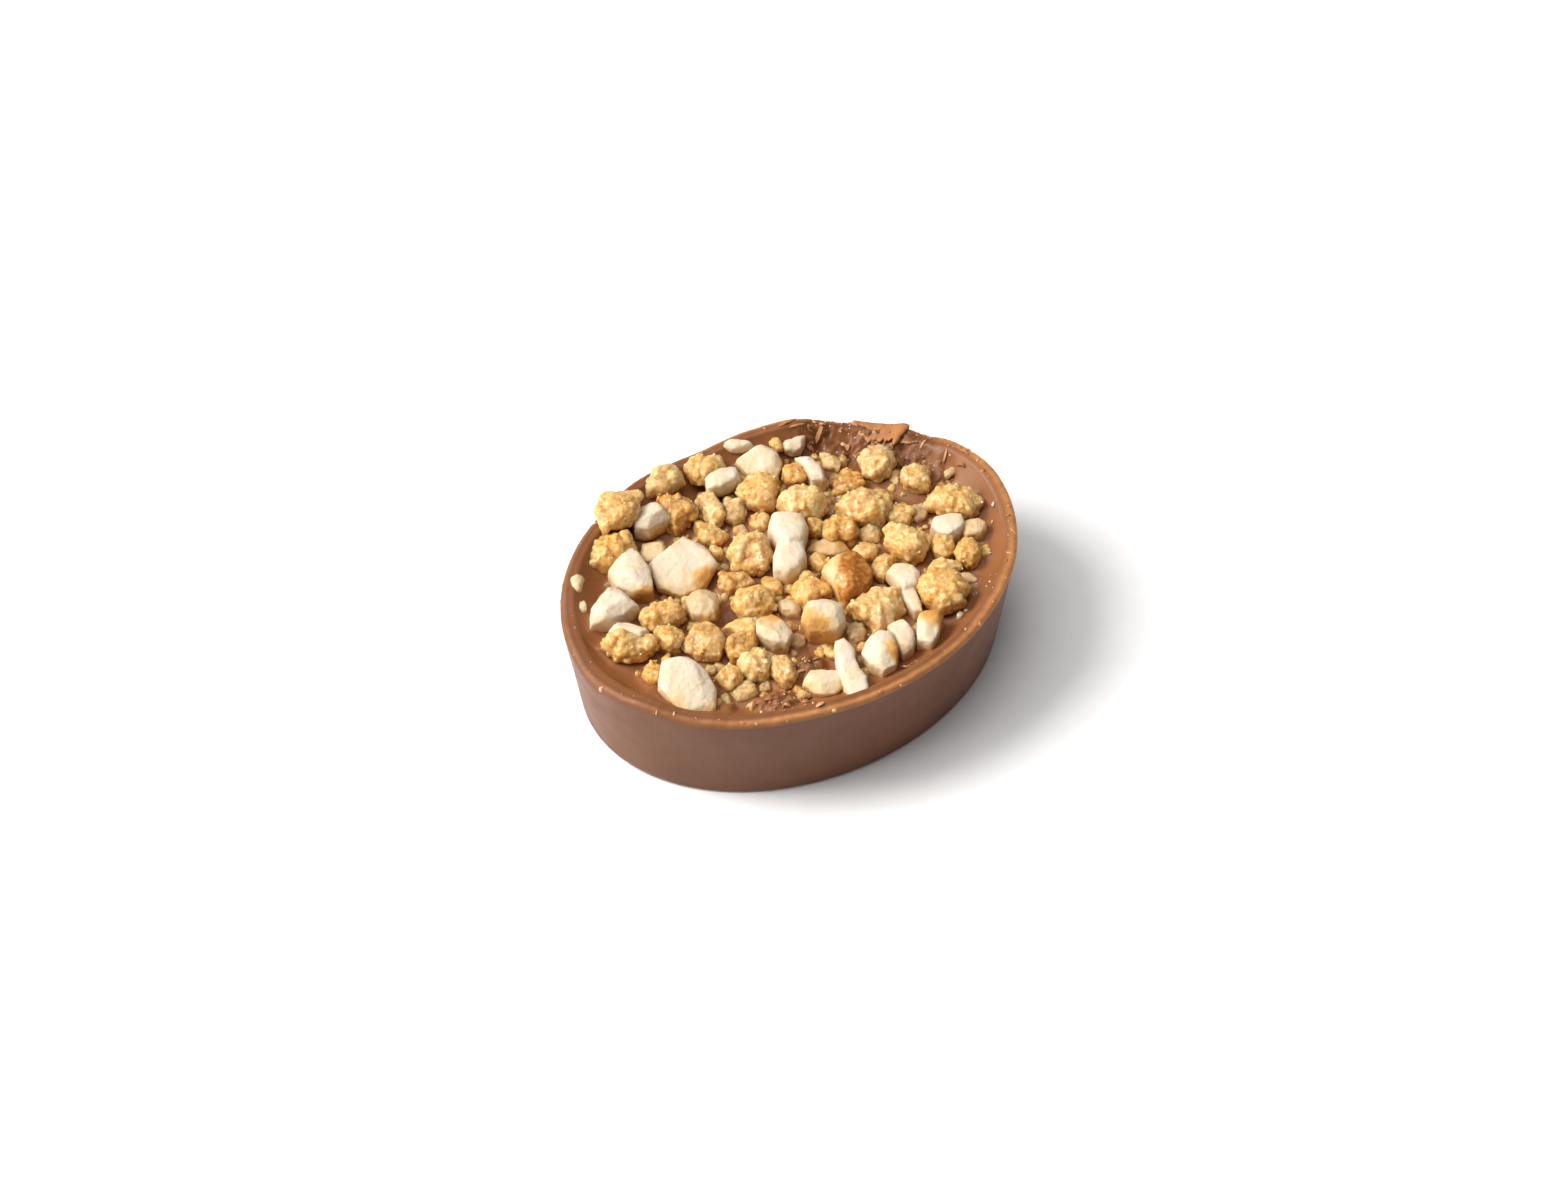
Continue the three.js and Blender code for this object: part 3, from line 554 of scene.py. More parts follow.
def makeCandied():
    bm = bmesh.new()
    ball, knob = ballMesh(candied["ballSides"]), ballMesh(candied["knobSides"])
    ballPoints, knobPoints = readPoints(ball), readPoints(knob)
    for piece, row in enumerate(candiedRows):
        addCrumb(bm, ball, ballPoints, knob, knobPoints, piece, row)
    mesh = fused(bm, candied["voxel"])
    inCells = readPoints(mesh)
    index = cellIndex(inCells)
    inCells = inCells + readNormals(mesh) * crumbRise(inCells)[:, None]
    writePoints(mesh, inCells)
    # hollowness sets painted shade in the crevices and a faint painted highlight on the knob tops
    hollow = hollowness(mesh, crumbTone["hollowRounds"])
    places = [placing(r[0], r[1], r[2], 0, r[3]) for r in candiedRows]
    points = onRim(fromCells(inCells, index, places))
    writePoints(mesh, points)
    # painted shade: each crumb browner and greyer towards the bottom, near the chocolate
    low = np.clip((floorHeight + crumbTone["lowBelow"] - points[:, 2]) / crumbTone["lowReach"], 0, 1)
    warmAndShade = np.array([r[5] for r in candiedRows])[index] - crumbTone["paler"] + crumbTone["lowShadeWarmth"] * low
    warmAndShade += crumbTone["patchWarmth"] * noiseField(inCells, crumbTone["patchScale"], seed=21.3)
    greyPatch = ease(noiseField(inCells, crumbTone["greyScale"], seed=33.0), *crumbTone["greyFade"])
    grey = np.array([r[6] for r in candiedRows])[index] + crumbTone["greyPatch"] * greyPatch
    writeShade(mesh, "warmth", np.clip(warmAndShade, 0, 1))
    writeShade(mesh, "greyness", np.clip(grey + crumbTone["lowShadeGrey"] * low, 0, 1))
    writeShade(mesh, "hollow", np.clip(hollow / crumbTone["hollowDepth"], -1, 1))
    return thinned(mesh, candied["keep"])


# Nut pieces and small bits

nut = {
    "ballSides": 96, "voxel": 0.1, "keep": 0.6, "squarer": 1.6, "neck": 0.78,
    "flats": 9, "flatLow": 10, "flatHigh": 72, "flatNear": 0.68, "flatVary": 0.24,
    "waveScale": 0.6, "waveHeight": 0.08, "dentScale": 1.3, "dentHeight": 0.07, "dentAbove": 0.55,
    "edgeRounds": 6, "edgeHeight": 0.08, "chipScale": 1.7, "chipHeight": 0.08, "chipLevel": 0.5,
    "fineScale": 4.5, "fineHeight": 0.035, "roughScale": 2.0, "roughHeight": 0.22,
}
nutTone = {
    "tan": 0.6, "lowBelow": 1.7, "lowToastAndShade": 0.5, "lowRagged": 2, "patchCore": 0.3, "patchEdge": 1.4,
    "raggedScale": 1.1, "raggedReach": 0.3, "finerScale": 3.0, "finerReach": 0.12,
    "hollowRounds": 4, "hollowDepth": 0.05,
}
# lobes that are one piece with another
joinedNuts = {13: 12, 22: 21, 28: 27}


def addNut(bm, ball, ballPoints, places, piece, row):
    skin = pieceSkin(ballPoints, row[6], row[2], row[3], row[5] + nut["squarer"])
    host = joinedNuts.get(piece, piece)
    if host not in joinedNuts.values():
        skin = pressed(skin, flatPlanes(skin, piece, nut))
    shift = np.array(places[host].inverted() @ places[piece])
    turned, away = skin @ shift[:3, :3].T, shift[:3, 3]
    addSkin(bm, ball, turned + away + cellMiddle(host))
    if host != piece:
        addSkin(bm, ball, nut["neck"] * turned + away / 2 + cellMiddle(host))


def nutRise(points, edges, grey):
    rise = nut["waveHeight"] * noiseField(points, nut["waveScale"], seed=5.5)
    dents = np.clip(ridgeField(points, nut["dentScale"], seed=6.6) - nut["dentAbove"], 0, 1)
    rise -= nut["dentHeight"] * dents
    rise -= nut["chipHeight"] * edges * (nut["chipLevel"] + noiseField(points, nut["chipScale"], seed=2.2))
    rise += nut["fineHeight"] * noiseField(points, nut["fineScale"], seed=9.1)
    return rise + nut["roughHeight"] * grey * noiseField(points, nut["roughScale"], seed=3.3)


def nutShades(points, index):
    # how toasted each point is, with painted warm shade towards the bottom, and whether it is under skin
    ways = worldDirections(points, index, len(nutRows))
    ragged = nutTone["raggedReach"] * noiseField(points, nutTone["raggedScale"], seed=4.4)
    ragged += nutTone["finerReach"] * noiseField(points, nutTone["finerScale"], seed=1.4)
    toastAndShade = nutTone["tan"] * np.array([r[7] for r in nutRows])[index]
    # painted shade: warmer and darker towards the bottom of each nut, added to its toasting
    low = np.clip((floorHeight + nutTone["lowBelow"] - points[:, 2]) / nutTone["lowBelow"], 0, 1)
    toastAndShade += nutTone["lowToastAndShade"] * low * (1 + nutTone["lowRagged"] * ragged)
    for piece, azimuth, height, reach, strength in toastRows:
        away = np.arccos(np.clip(ways @ facing(azimuth, height), -1, 1)) + ragged
        patch = 1 - ease(away, reach * nutTone["patchCore"], reach * nutTone["patchEdge"])
        toastAndShade += (index == piece) * strength * patch
    side = ways @ facing(*skinnedNut["facing"]) + skinnedNut["ragged"] * ragged
    skin = (index == skinnedNut["nut"]) * ease(side, *skinnedNut["edge"])
    return np.clip(toastAndShade, 0, 1), skin


def makeNuts():
    bm = bmesh.new()
    ball = ballMesh(nut["ballSides"])
    ballPoints = readPoints(ball)
    places = [placing(r[0], r[1], r[2], r[3], r[4]) for r in nutRows]
    for piece, row in enumerate(nutRows):
        addNut(bm, ball, ballPoints, places, piece, row)
    mesh = fused(bm, nut["voxel"])
    points = readPoints(mesh)
    index = cellIndex(points)
    grey = np.array([r[8] for r in nutRows])[index]
    edges = np.clip(-hollowness(mesh, nut["edgeRounds"]) / nut["edgeHeight"], 0, 1)
    points = points + readNormals(mesh) * nutRise(points, edges, grey)[:, None]
    writePoints(mesh, points)
    # hollowness sets painted shade in the nut's hollows
    hollow = hollowness(mesh, nutTone["hollowRounds"])
    points = fromCells(points, index, places)
    writePoints(mesh, points)
    toastAndShade, skin = nutShades(points, index)
    writeShade(mesh, "toastAndShade", toastAndShade)
    writeShade(mesh, "greyness", grey)
    writeShade(mesh, "skin", skin)
    writeShade(mesh, "hollow", np.clip(hollow / nutTone["hollowDepth"], -1, 1))
    return thinned(mesh, nut["keep"])


# Chocolate body

body = {
    "turns": 540, "baseRings": 5, "roundSteps": 5, "wallSteps": 26, "crestSteps": 8, "slopeSteps": 24,
    "floorRings": 48, "hollowFrom": 0.54, "hollowUnder": 0.2, "innerFade": (0.9, 2.2),
    "floorScale": 0.33, "floorWave": 0.09, "poolRise": 0.3, "poolReach": 0.38, "poolInset": 0.15,
    "looseAbove": 0.6, "wallScale": 0.16, "wallWave": 0.05, "wallFineScale": 0.6, "wallFine": 0.015,
    "rimMiddle": 0.4, "rimReach": 0.55, "rimScale": 9, "rimWave": 0.08, "rimFineScale": 34, "rimFine": 0.05,
}
# the painted glow of light along the rim edge, and where the inside colour starts
rimTone = {
    "edgeInset": 0.2, "edgeWidth": 0.24, "wideWay": -16.0, "edgeWiden": 0.9, "wideFade": (0.6, 0.95),
    "glowWay": -20.0, "leastGlow": 0.25, "glowFade": (-0.75, 0.2), "insideFade": (0.2, 1.2),
}
# place round the oval, rise, half width
rimSwells = [
    (3, 0.35, 10), (29.5, -0.7, 6.5), (44, -0.8, 8), (55, -0.55, 5.5), (68, 0.22, 6), (91, -0.45, 8),
    (112, 0.5, 8), (134, 0.5, 14), (152, 0.35, 10), (186, -0.4, 7), (208, 0.3, 8), (252, 0.25, 14),
    (296, -0.25, 18), (332, -0.4, 10),
]
# chocolate mounds on the floor: x, y, length, width, height, turn
moundRows = [
    (-3.2, -8.6, 2.9, 2.3, 1.2, 0), (-7.0, -10.4, 3.4, 2.5, 1.1, -20), (-5.9, -12.0, 2.2, 1.4, 0.7, 20),
]
mounds = {
    "edge": (-0.7, 0.35), "ragged": 0.25, "raggedScale": 1.3, "height": 0.9, "crag": 0.8, "cragScale": 0.9,
    "cragLevel": 0.8, "fine": 0.35, "fineScale": 2.4, "torn": 0.7,
}
# hollows torn into the slope: x, y, length, width, depth, turn
tornRows = [
    (8.47, 10.46, 1.7, 0.8, 0.5, 60), (10.64, 9.24, 1.7, 0.8, 0.5, 60), (9.74, 10.94, 1.1, 0.7, 0.35, 40),
    (16.25, 2.99, 2.2, 1.3, 0.35, 70), (12.6, 7.9, 2.6, 0.7, 0.3, -40),
]
tornHollows = {"edge": (-0.35, 0.12), "ragged": 0.15, "raggedScale": 1.4}
# pools with a clear edge round a nut: x, y, length, width, rise, turn
poolRows = [
    (-14.6, 2.0, 6.0, 5.2, 0.35, -50), (-13.2, -7.2, 7.0, 5.4, 0.3, -35),
]
pools = {"edge": (-0.15, 0.2), "ragged": 0.12, "raggedScale": 0.9}
# torn chocolate at the back of the hollow
scraped = {
    "start": 12.0, "end": 70.0, "fadeIn": 14.0, "fadeOut": 8.0, "inset": (3.12, 5.2), "rimFade": (0.3, 1.0),
    "level": 0.8, "coarse": 0.6, "coarseScale": 0.75, "fine": 0.34, "fineScale": 2.5,
    "streak": 0.4, "streakScale": 1.3, "streakAlong": 0.3, "streakDown": 0.35,
}


def rimSwell(degrees):
    total = np.zeros_like(degrees)
    for place, rise, half in rimSwells:
        away = np.abs((degrees - place + 540) % 360 - 180) / half
        total += rise * np.exp(-away * away)
    return total


def bodyProfile():
    half = bodySizes["width"] / 2
    lean, rounding, crest = bodySizes["wallLean"], bodySizes["baseRound"], bodySizes["crestWidth"]
    top, deep, slope = bodySizes["rimHeight"], bodySizes["hollowDepth"], bodySizes["slopeWidth"]
    line = [((half - lean - rounding) * i / body["baseRings"], 0) for i in range(body["baseRings"])]
    for i in range(body["roundSteps"] + 1):
        angle = i / body["roundSteps"] * math.pi / 2
        line.append((half - lean - rounding * (1 - math.sin(angle)), rounding * (1 - math.cos(angle))))
    foot, head = line[-1], (half, top - crest / 2)
    for i in range(1, body["wallSteps"]):
        share = i / body["wallSteps"]
        line.append((foot[0] + (head[0] - foot[0]) * share, foot[1] + (head[1] - foot[1]) * share))
    for i in range(body["crestSteps"] + 1):
        angle = i / body["crestSteps"] * math.pi / 2
        line.append((half - crest / 2 * (1 - math.cos(angle)), top - crest / 2 * (1 - math.sin(angle))))
    line.append((half - crest * 0.75, top))
    for i in range(body["slopeSteps"] + 1):
        run = i / body["slopeSteps"]
        line.append((half - crest - slope * run, top - deep * run * (2 - run)))
    inner = half - crest - slope
    line += [(inner * (1 - i / body["floorRings"]), top - deep) for i in range(1, body["floorRings"] + 1)]
    return line


def spunBody():
    bm = bmesh.new()
    verts = [bm.verts.new((r, 0, z)) for r, z in bodyProfile()]
    edges = [bm.edges.new(pair) for pair in zip(verts, verts[1:])]
    bmesh.ops.spin(bm, geom=verts + edges, cent=(0, 0, 0), axis=(0, 0, 1), angle=2 * math.pi,
                   steps=body["turns"], use_merge=True)
    bmesh.ops.remove_doubles(bm, verts=bm.verts, dist=1e-4)
    bmesh.ops.recalc_face_normals(bm, faces=bm.faces)
    return bmeshToMesh(bm, "chocolate_body")


def bodyZones(points):
    # where each point of the round body lies, and how far it follows the rim up and down
    inset = bodySizes["width"] / 2 - np.hypot(points[:, 0], points[:, 1])
    height, low = points[:, 2], bodySizes["baseRound"]
    crestStart = bodySizes["rimHeight"] - bodySizes["crestWidth"] / 2
    overHollow = (height > floorHeight - body["hollowUnder"]) & (inset > body["hollowFrom"])
    onTop = (height >= crestStart - 1e-4) | overHollow
    onWall = ~onTop & (height > low)
    run = np.clip((inset - bodySizes["crestWidth"]) / bodySizes["slopeWidth"], 0, 1)
    wallShare = np.clip((height - low) / (crestStart - low), 0, 1)
    return {
        "inset": inset, "degrees": np.degrees(np.arctan2(points[:, 1], points[:, 0])) % 360,
        "top": onTop, "wall": onWall, "inner": onTop * ease(inset, *body["innerFade"]),
        "follows": np.where(onWall, wallShare, np.where(onTop, (1 - run) ** 2, 0)),
    }


def scrapedShare(zone):
    start, end = scraped["start"], scraped["end"]
    share = ease(zone["degrees"], start, start + scraped["fadeIn"])
    share *= 1 - ease(zone["degrees"], end - scraped["fadeOut"], end)
    return share * (1 - ease(zone["inset"], *scraped["inset"])) * zone["top"]


def scrapedRise(flat, zone):
    along, down = zone["degrees"] * scraped["streakAlong"], zone["inset"] * scraped["streakDown"]
    streaks = np.stack([along, down, np.zeros(len(flat))], 1)
    rise = scraped["coarse"] * (ridgeField(flat, scraped["coarseScale"], seed=3.0) - scraped["level"])
    rise += scraped["fine"] * (ridgeField(flat, scraped["fineScale"], seed=8.0) - scraped["level"])
    rise += scraped["streak"] * (ridgeField(streaks, scraped["streakScale"], seed=5.0) - scraped["level"])
    return rise * ease(zone["inset"], *scraped["rimFade"])


def patchShares(flat, rows, kind, seed):
    # size of each row's change, and its share at each point
    ragged = kind["ragged"] * noiseField(flat, kind["raggedScale"], seed)
    for x, y, length, width, size, turn in rows:
        c, s = math.cos(math.radians(turn)), math.sin(math.radians(turn))
        u = ((flat[:, 0] - x) * c + (flat[:, 1] - y) * s) / (length / 2)
        v = ((flat[:, 1] - y) * c - (flat[:, 0] - x) * s) / (width / 2)
        away = (np.hypot(u, v) - 1) * min(length, width) / 2
        yield size, 1 - ease(away + ragged, *kind["edge"])


def setInRise(flat):
    # chocolate rises round what is set in it
    setIn = [(r[0], r[1], spreadOutline(r[4]), r[2], 0, r[3]) for r in candiedRows[:placedCrumbs]]
    setIn += [(r[0], r[1], r[6], r[2], r[3], r[4]) for r in nutRows]
    rise = np.zeros(len(flat))
    for x, y, outline, tall, tilt, lift in setIn:
        if lift < body["looseAbove"]:
            away = outlineAway(flat, x, y, outline, viewStretch(outline, tall, tilt)) + body["poolInset"]
            rise = np.maximum(rise, np.exp(-(np.clip(away, 0, None) / body["poolReach"]) ** 2))
    return body["poolRise"] * rise


def moundCrags(flat):
    crags = mounds["crag"] * (ridgeField(flat, mounds["cragScale"], seed=5.0) - mounds["cragLevel"])
    return mounds["height"] + crags + mounds["fine"] * noiseField(flat, mounds["fineScale"], seed=2.0)


def unevenSkin(points, zone):
    # small unevenness of the moulded wall and the rim
    level = np.zeros(len(points))
    stretch = bodySizes["length"] / bodySizes["width"]
    outward = np.stack([points[:, 0] / stretch ** 2, points[:, 1], level], 1)
    outward /= np.maximum(np.linalg.norm(outward, axis=1, keepdims=True), 1e-6)
    wave = body["wallWave"] * noiseField(points, body["wallScale"], seed=12.0)
    wave += body["wallFine"] * noiseField(points, body["wallFineScale"], seed=2.0)
    points = points + outward * (wave * zone["wall"])[:, None]
    angle = np.radians(zone["degrees"])
    ring = np.stack([np.cos(angle), np.sin(angle), level], 1)
    wave = body["rimWave"] * noiseField(ring, body["rimScale"], seed=4.0)
    wave += body["rimFine"] * noiseField(ring, body["rimFineScale"], seed=1.0)
    away = (zone["inset"] - body["rimMiddle"]) / body["rimReach"]
    points[:, 2] += zone["top"] * np.exp(-away ** 2) * wave
    return points


def rimGlowBand(zone):
    # painted glow of light along the rim edge, brightest where the rim is thin, and widest at one side
    degrees = zone["degrees"]
    thin = ease(np.cos(np.radians(degrees - rimTone["glowWay"])), *rimTone["glowFade"])
    wide = ease(np.cos(np.radians(degrees - rimTone["wideWay"])), *rimTone["wideFade"])
    width = rimTone["edgeWidth"] * (1 + rimTone["edgeWiden"] * wide)
    edge = np.exp(-((zone["inset"] - rimTone["edgeInset"]) / width) ** 2)
    return zone["top"] * pick((rimTone["leastGlow"], 1), thin) * edge


def makeBody():
    mesh = spunBody()
    points = readPoints(mesh)
    zone = bodyZones(points)
    points[:, 0] *= bodySizes["length"] / bodySizes["width"]
    flat = points * (1, 1, 0)
    torn = scrapedShare(zone)
    points[:, 2] += zone["follows"] * rimSwell(zone["degrees"]) + torn * scrapedRise(flat, zone)
    for depth, share in patchShares(flat, tornRows, tornHollows, seed=9.0):
        points[:, 2] -= zone["top"] * depth * share
    rise = body["floorWave"] * noiseField(flat, body["floorScale"], seed=1.0) + setInRise(flat)
    for lift, share in patchShares(flat, poolRows, pools, seed=6.0):
        rise += lift * share
    crags = moundCrags(flat)
    for lift, share in patchShares(flat, moundRows, mounds, seed=3.0):
        rise += lift * share * crags
        torn = np.maximum(torn, mounds["torn"] * zone["inner"] * share)
    points[:, 2] += zone["inner"] * rise
    writePoints(mesh, unevenSkin(points, zone))
    # crest: the painted glow of light along the rim edge
    writeShade(mesh, "crest", rimGlowBand(zone))
    writeShade(mesh, "inside", zone["top"] * ease(zone["inset"], *rimTone["insideFade"]))
    # torn: where the material paints darker patches of shade and pale flecks
    writeShade(mesh, "torn", np.clip(torn, 0, 1))
    return mesh


# Chocolate shavings: the broken flake on the rim, strips, loose shavings and pale nicks

flake = {
    "start": 34.3, "end": 50.5, "steps": 70, "rows": 10, "inset": 0.1, "reach": 1.5, "thick": 0.26,
    "rise": 0.12, "peak": 0.34, "peakAt": 0.07, "peakWidth": 0.13, "fall": 0.28, "straightFall": 0.6,
    "endReach": 0.25, "endTaper": 2.2, "ragged": 0.3, "raggedScale": 7, "fineRagged": 0.16, "fineScale": 23,
    "stray": 0.5, "strayDown": 4, "strayAlong": 2, "crestWave": 0.05, "crestScale": 11,
    "skinWave": 0.04, "skinScale": 2, "pale": 0.5,
}
strips = {
    "steps": 14, "rows": 3, "thick": 0.07, "lift": 0.05, "waist": 0.75, "ragged": 0.5, "raggedScale": 5,
    "shift": 3.1, "tip": 0.3, "taper": 3,
}
shards = {
    "inset": 0.6, "halfLength": (0.12, 0.4), "width": (0.16, 0.5), "arch": (0.05, 0.3), "palest": 0.5,
}
nicks = {
    "size": (0.09, 0.3), "inset": (0.02, 0.75), "mostlyOuter": 1.5, "narrow": (0.3, 0.7), "flat": 0.35,
    "crumple": 0.35, "crumpleScale": 6, "pale": (0.4, 1.0),
}
freshFade = (0.5, 1.0)
# start, end, width, arch, paleness
stripRows = [
    ((11.80, 9.77), (12.98, 8.08), 0.28, 0.12, 0.7), ((9.46, 11.46), (8.49, 10.82), 0.45, 0.2, 0.5),
    ((10.30, 9.95), (10.70, 9.50), 0.40, 0.15, 0.9), ((10.60, 7.95), (10.78, 7.65), 0.20, 0.05, 0.8),
    ((12.05, 8.65), (12.32, 8.05), 0.14, 0.1, 1.0), ((13.00, 6.40), (13.55, 5.35), 0.45, 0.3, 0.25),
    ((16.12, 6.30), (15.37, 5.94), 0.26, 0.1, 0.7), ((14.20, 7.30), (14.95, 6.65), 0.35, 0.12, 0.6),
    ((6.10, 12.75), (7.70, 12.80), 0.30, 0.08, 0.5), ((6.90, 12.30), (8.20, 12.00), 0.22, 0.1, 0.5),
    ((17.05, -5.20), (17.30, -5.75), 0.15, 0.06, 0.9), ((15.60, -6.95), (16.00, -7.40), 0.16, 0.06, 0.9),
    ((-5.25, -13.15), (-4.45, -13.05), 0.35, 0.08, 0.8),
    ((-5.60, -11.60), (-4.95, -11.75), 0.40, 0.15, 0.6),
    ((17.65, 3.60), (17.85, 2.70), 0.22, 0.12, 0.6), ((16.85, 4.25), (16.25, 3.75), 0.2, 0.08, 0.8),
]
# loose shavings: x, y, reach, how many, paleness
shardRows = [
    (9.4, 10.4, 1.9, 16, 0.3), (12.2, 8.6, 1.9, 16, 0.3), (14.6, 6.2, 1.7, 10, 0.35),
    (16.4, 3.2, 1.2, 6, 0.3), (-6.4, -11.0, 1.8, 16, 0.4), (-3.4, -9.2, 1.3, 10, 0.4),
    (3.5, -12.4, 0.8, 5, 0.3),
]
# pale nicks along the rim: from, to, how many
nickRows = [(12, 30, 12), (30, 66, 26), (66, 100, 6), (150, 235, 18), (235, 325, 12), (325, 372, 16)]


def skinTree(mesh):
    mesh.calc_loop_triangles()
    corners = np.empty(len(mesh.loop_triangles) * 3, np.int32)
    mesh.loop_triangles.foreach_get("vertices", corners)
    return BVHTree.FromPolygons(readPoints(mesh).tolist(), corners.reshape(-1, 3).tolist())


def topAt(tree, x, y):
    place, normal, _, _ = tree.ray_cast(Vector((x, y, wellAbove)), Vector((0, 0, -1)))
    return place, normal


def ovalPlace(degrees, inset):
    a, across = math.radians(degrees), bodySizes["width"] / 2 - inset
    return across * math.cos(a) * bodySizes["length"] / bodySizes["width"], across * math.sin(a)


def markFresh(bm, layer, pale):
    for v in bm.verts:
        if v[layer] == 0:
            v[layer] = pale


def addSheet(bm, layer, steps, rows, bend, thick, pale):
    # a grid bent to its place and given a thickness
    grid = bmesh.ops.create_grid(bm, x_segments=steps, y_segments=rows, size=1)
    for v in grid["verts"]:
        v.co = bend((v.co.x + 1) / 2, (v.co.y + 1) / 2)
    faces = list({f for v in grid["verts"] for f in v.link_faces})
    bmesh.ops.solidify(bm, geom=faces, thickness=thick)
    markFresh(bm, layer, pale)


def addFlake(bm, layer):
    def bend(along, down):
        ragged = 1 + flake["ragged"] * noise.noise((along * flake["raggedScale"], 1.5, 0))
        ragged += flake["fineRagged"] * noise.noise((along * flake["fineScale"], 4.5, 0))
        reach = flake["reach"] * ragged * min(1, flake["endReach"] + flake["endTaper"] * (1 - along))
        degrees = pick((flake["start"], flake["end"]), along)
        across = (down * flake["strayDown"], along * flake["strayAlong"], 7.0)
        degrees += flake["stray"] * noise.noise(across)
        x, y = ovalPlace(degrees, flake["inset"] + reach * down)
        peak = math.exp(-((along - flake["peakAt"]) / flake["peakWidth"]) ** 2)
        z = bodySizes["rimHeight"] + float(rimSwell(np.array([degrees]))[0])
        z += flake["rise"] + flake["peak"] * peak
        z += flake["crestWave"] * noise.noise((along * flake["crestScale"], 9.0, 0))
        z -= flake["fall"] * down * pick((flake["straightFall"], 1), down)
        z += flake["skinWave"] * noise.noise((x * flake["skinScale"], y * flake["skinScale"], 3.0))
        return x, y, z

    addSheet(bm, layer, flake["steps"], flake["rows"], bend, flake["thick"], flake["pale"])


def addStrip(bm, layer, tree, index, start, end, width, arch, pale):
    first, last = Vector(start), Vector(end)
    line = last - first
    side = Vector((-line.y, line.x)).normalized()
    ends = topAt(tree, *first)[0].z, topAt(tree, *last)[0].z

    def bend(along, across):
        across = across * 2 - 1
        ragged = noise.noise((along * strips["raggedScale"], index * strips["shift"], across))
        reach = width / 2 * (strips["waist"] + strips["ragged"] * ragged)
        reach *= min(1, strips["tip"] + strips["taper"] * min(along, 1 - along))
        place = first + line * along + side * (across * reach)
        level = pick(ends, along) + arch * math.sin(math.pi * along)
        ground = topAt(tree, place.x, place.y)[0].z
        return place.x, place.y, max(level, ground) + strips["lift"] + arch / 2 * across * across

    addSheet(bm, layer, strips["steps"], strips["rows"], bend, strips["thick"], pale)


def addShards(bm, layer, tree, row, x, y, reach, count, pale):
    for index in range(100 * (row + 1), 100 * (row + 1) + count):
        away, angle = reach * math.sqrt(chance(index, 520)), math.tau * chance(index, 521)
        way, half = math.tau * chance(index, 522), pick(shards["halfLength"], chance(index, 523) ** 2)
        middle = Vector((x + away * math.cos(angle), y + away * math.sin(angle)))
        along = Vector((math.cos(way), math.sin(way))) * half
        width = pick(shards["width"], chance(index, 524) ** 2)
        arch = pick(shards["arch"], chance(index, 525) ** 2)
        if min(insetAt(*(middle - along)), insetAt(*(middle + along))) < shards["inset"]:
            continue
        fresh = pale + shards["palest"] * chance(index, 526) ** 2
        addStrip(bm, layer, tree, index, middle - along, middle + along, width, arch, fresh)


def addNick(bm, layer, tree, index, degrees):
    x, y = ovalPlace(degrees, pick(nicks["inset"], chance(index, 511) ** nicks["mostlyOuter"]))
    place, normal = topAt(tree, x, y)
    if place is None:
        return
    size = pick(nicks["size"], chance(index, 512) ** 2)
    upright = normal.to_track_quat("Z", "Y").to_matrix().to_4x4()
    turn = Matrix.Rotation(math.tau * chance(index, 513), 4, "Z")
    narrow = pick(nicks["narrow"], chance(index, 514))
    shape = Matrix.Diagonal((size, size * narrow, size * nicks["flat"], 1))
    made = bmesh.ops.create_icosphere(bm, subdivisions=1, radius=1,
                                      matrix=Matrix.Translation(place) @ upright @ turn @ shape)
    for v in made["verts"]:
        v.co += Vector(noise.noise_vector(v.co * nicks["crumpleScale"])) * size * nicks["crumple"]
    markFresh(bm, layer, pick(nicks["pale"], chance(index, 515)))


def makeShavings(tree):
    bm = bmesh.new()
    layer = bm.verts.layers.float.new("crest")
    addFlake(bm, layer)
    for index, row in enumerate(stripRows):
        addStrip(bm, layer, tree, index, *row)
    for row, region in enumerate(shardRows):
        addShards(bm, layer, tree, row, *region)
    index = 0
    for start, end, count in nickRows:
        for i in range(count):
            addNick(bm, layer, tree, index, pick((start, end), (i + chance(index, 510)) / count))
            index += 1
    bmesh.ops.recalc_face_normals(bm, faces=bm.faces)
    mesh = bmeshToMesh(bm, "chocolate_shavings")
    pale = np.empty(len(mesh.vertices), np.float32)
    mesh.attributes["crest"].data.foreach_get("value", pale)
    writeShade(mesh, "fresh", ease(pale, *freshFade))
    writeShade(mesh, "inside", np.ones(len(mesh.vertices)))
    writeShade(mesh, "torn", np.zeros(len(mesh.vertices)))
    return mesh


# Sugar grains on the crumbs and in the chocolate

sugar = {
    "onCrumbs": 520, "onChocolate": 90, "size": (0.045, 0.12), "uneven": (0.7, 1.3), "steepest": 0.15,
    "sunk": 0.35,
}
# where grains lie in the chocolate: x, y, reach
sugarPlaces = [(-6.0, -10.6, 2.2), (-3.4, -9.0, 1.6), (15.5, 3.6, 1.6), (9.8, 9.6, 1.8), (12.5, -8.6, 1.2)]


def addGrain(bm, index, place, normal):
    size = pick(sugar["size"], chance(index, 611) ** 2)
    turn = Matrix.Rotation(math.tau * chance(index, 612), 4, "X")
    turn = turn @ Matrix.Rotation(chance(index, 613), 4, "Y")
    sides = [size * pick(sugar["uneven"], chance(index, 614 + axis)) for axis in range(3)]
    shape = Matrix.Diagonal((*sides, 1))
    centre = Vector(place) + Vector(normal) * size * (0.5 - sugar["sunk"])
    bmesh.ops.create_cube(bm, size=1, matrix=Matrix.Translation(centre) @ turn @ shape)


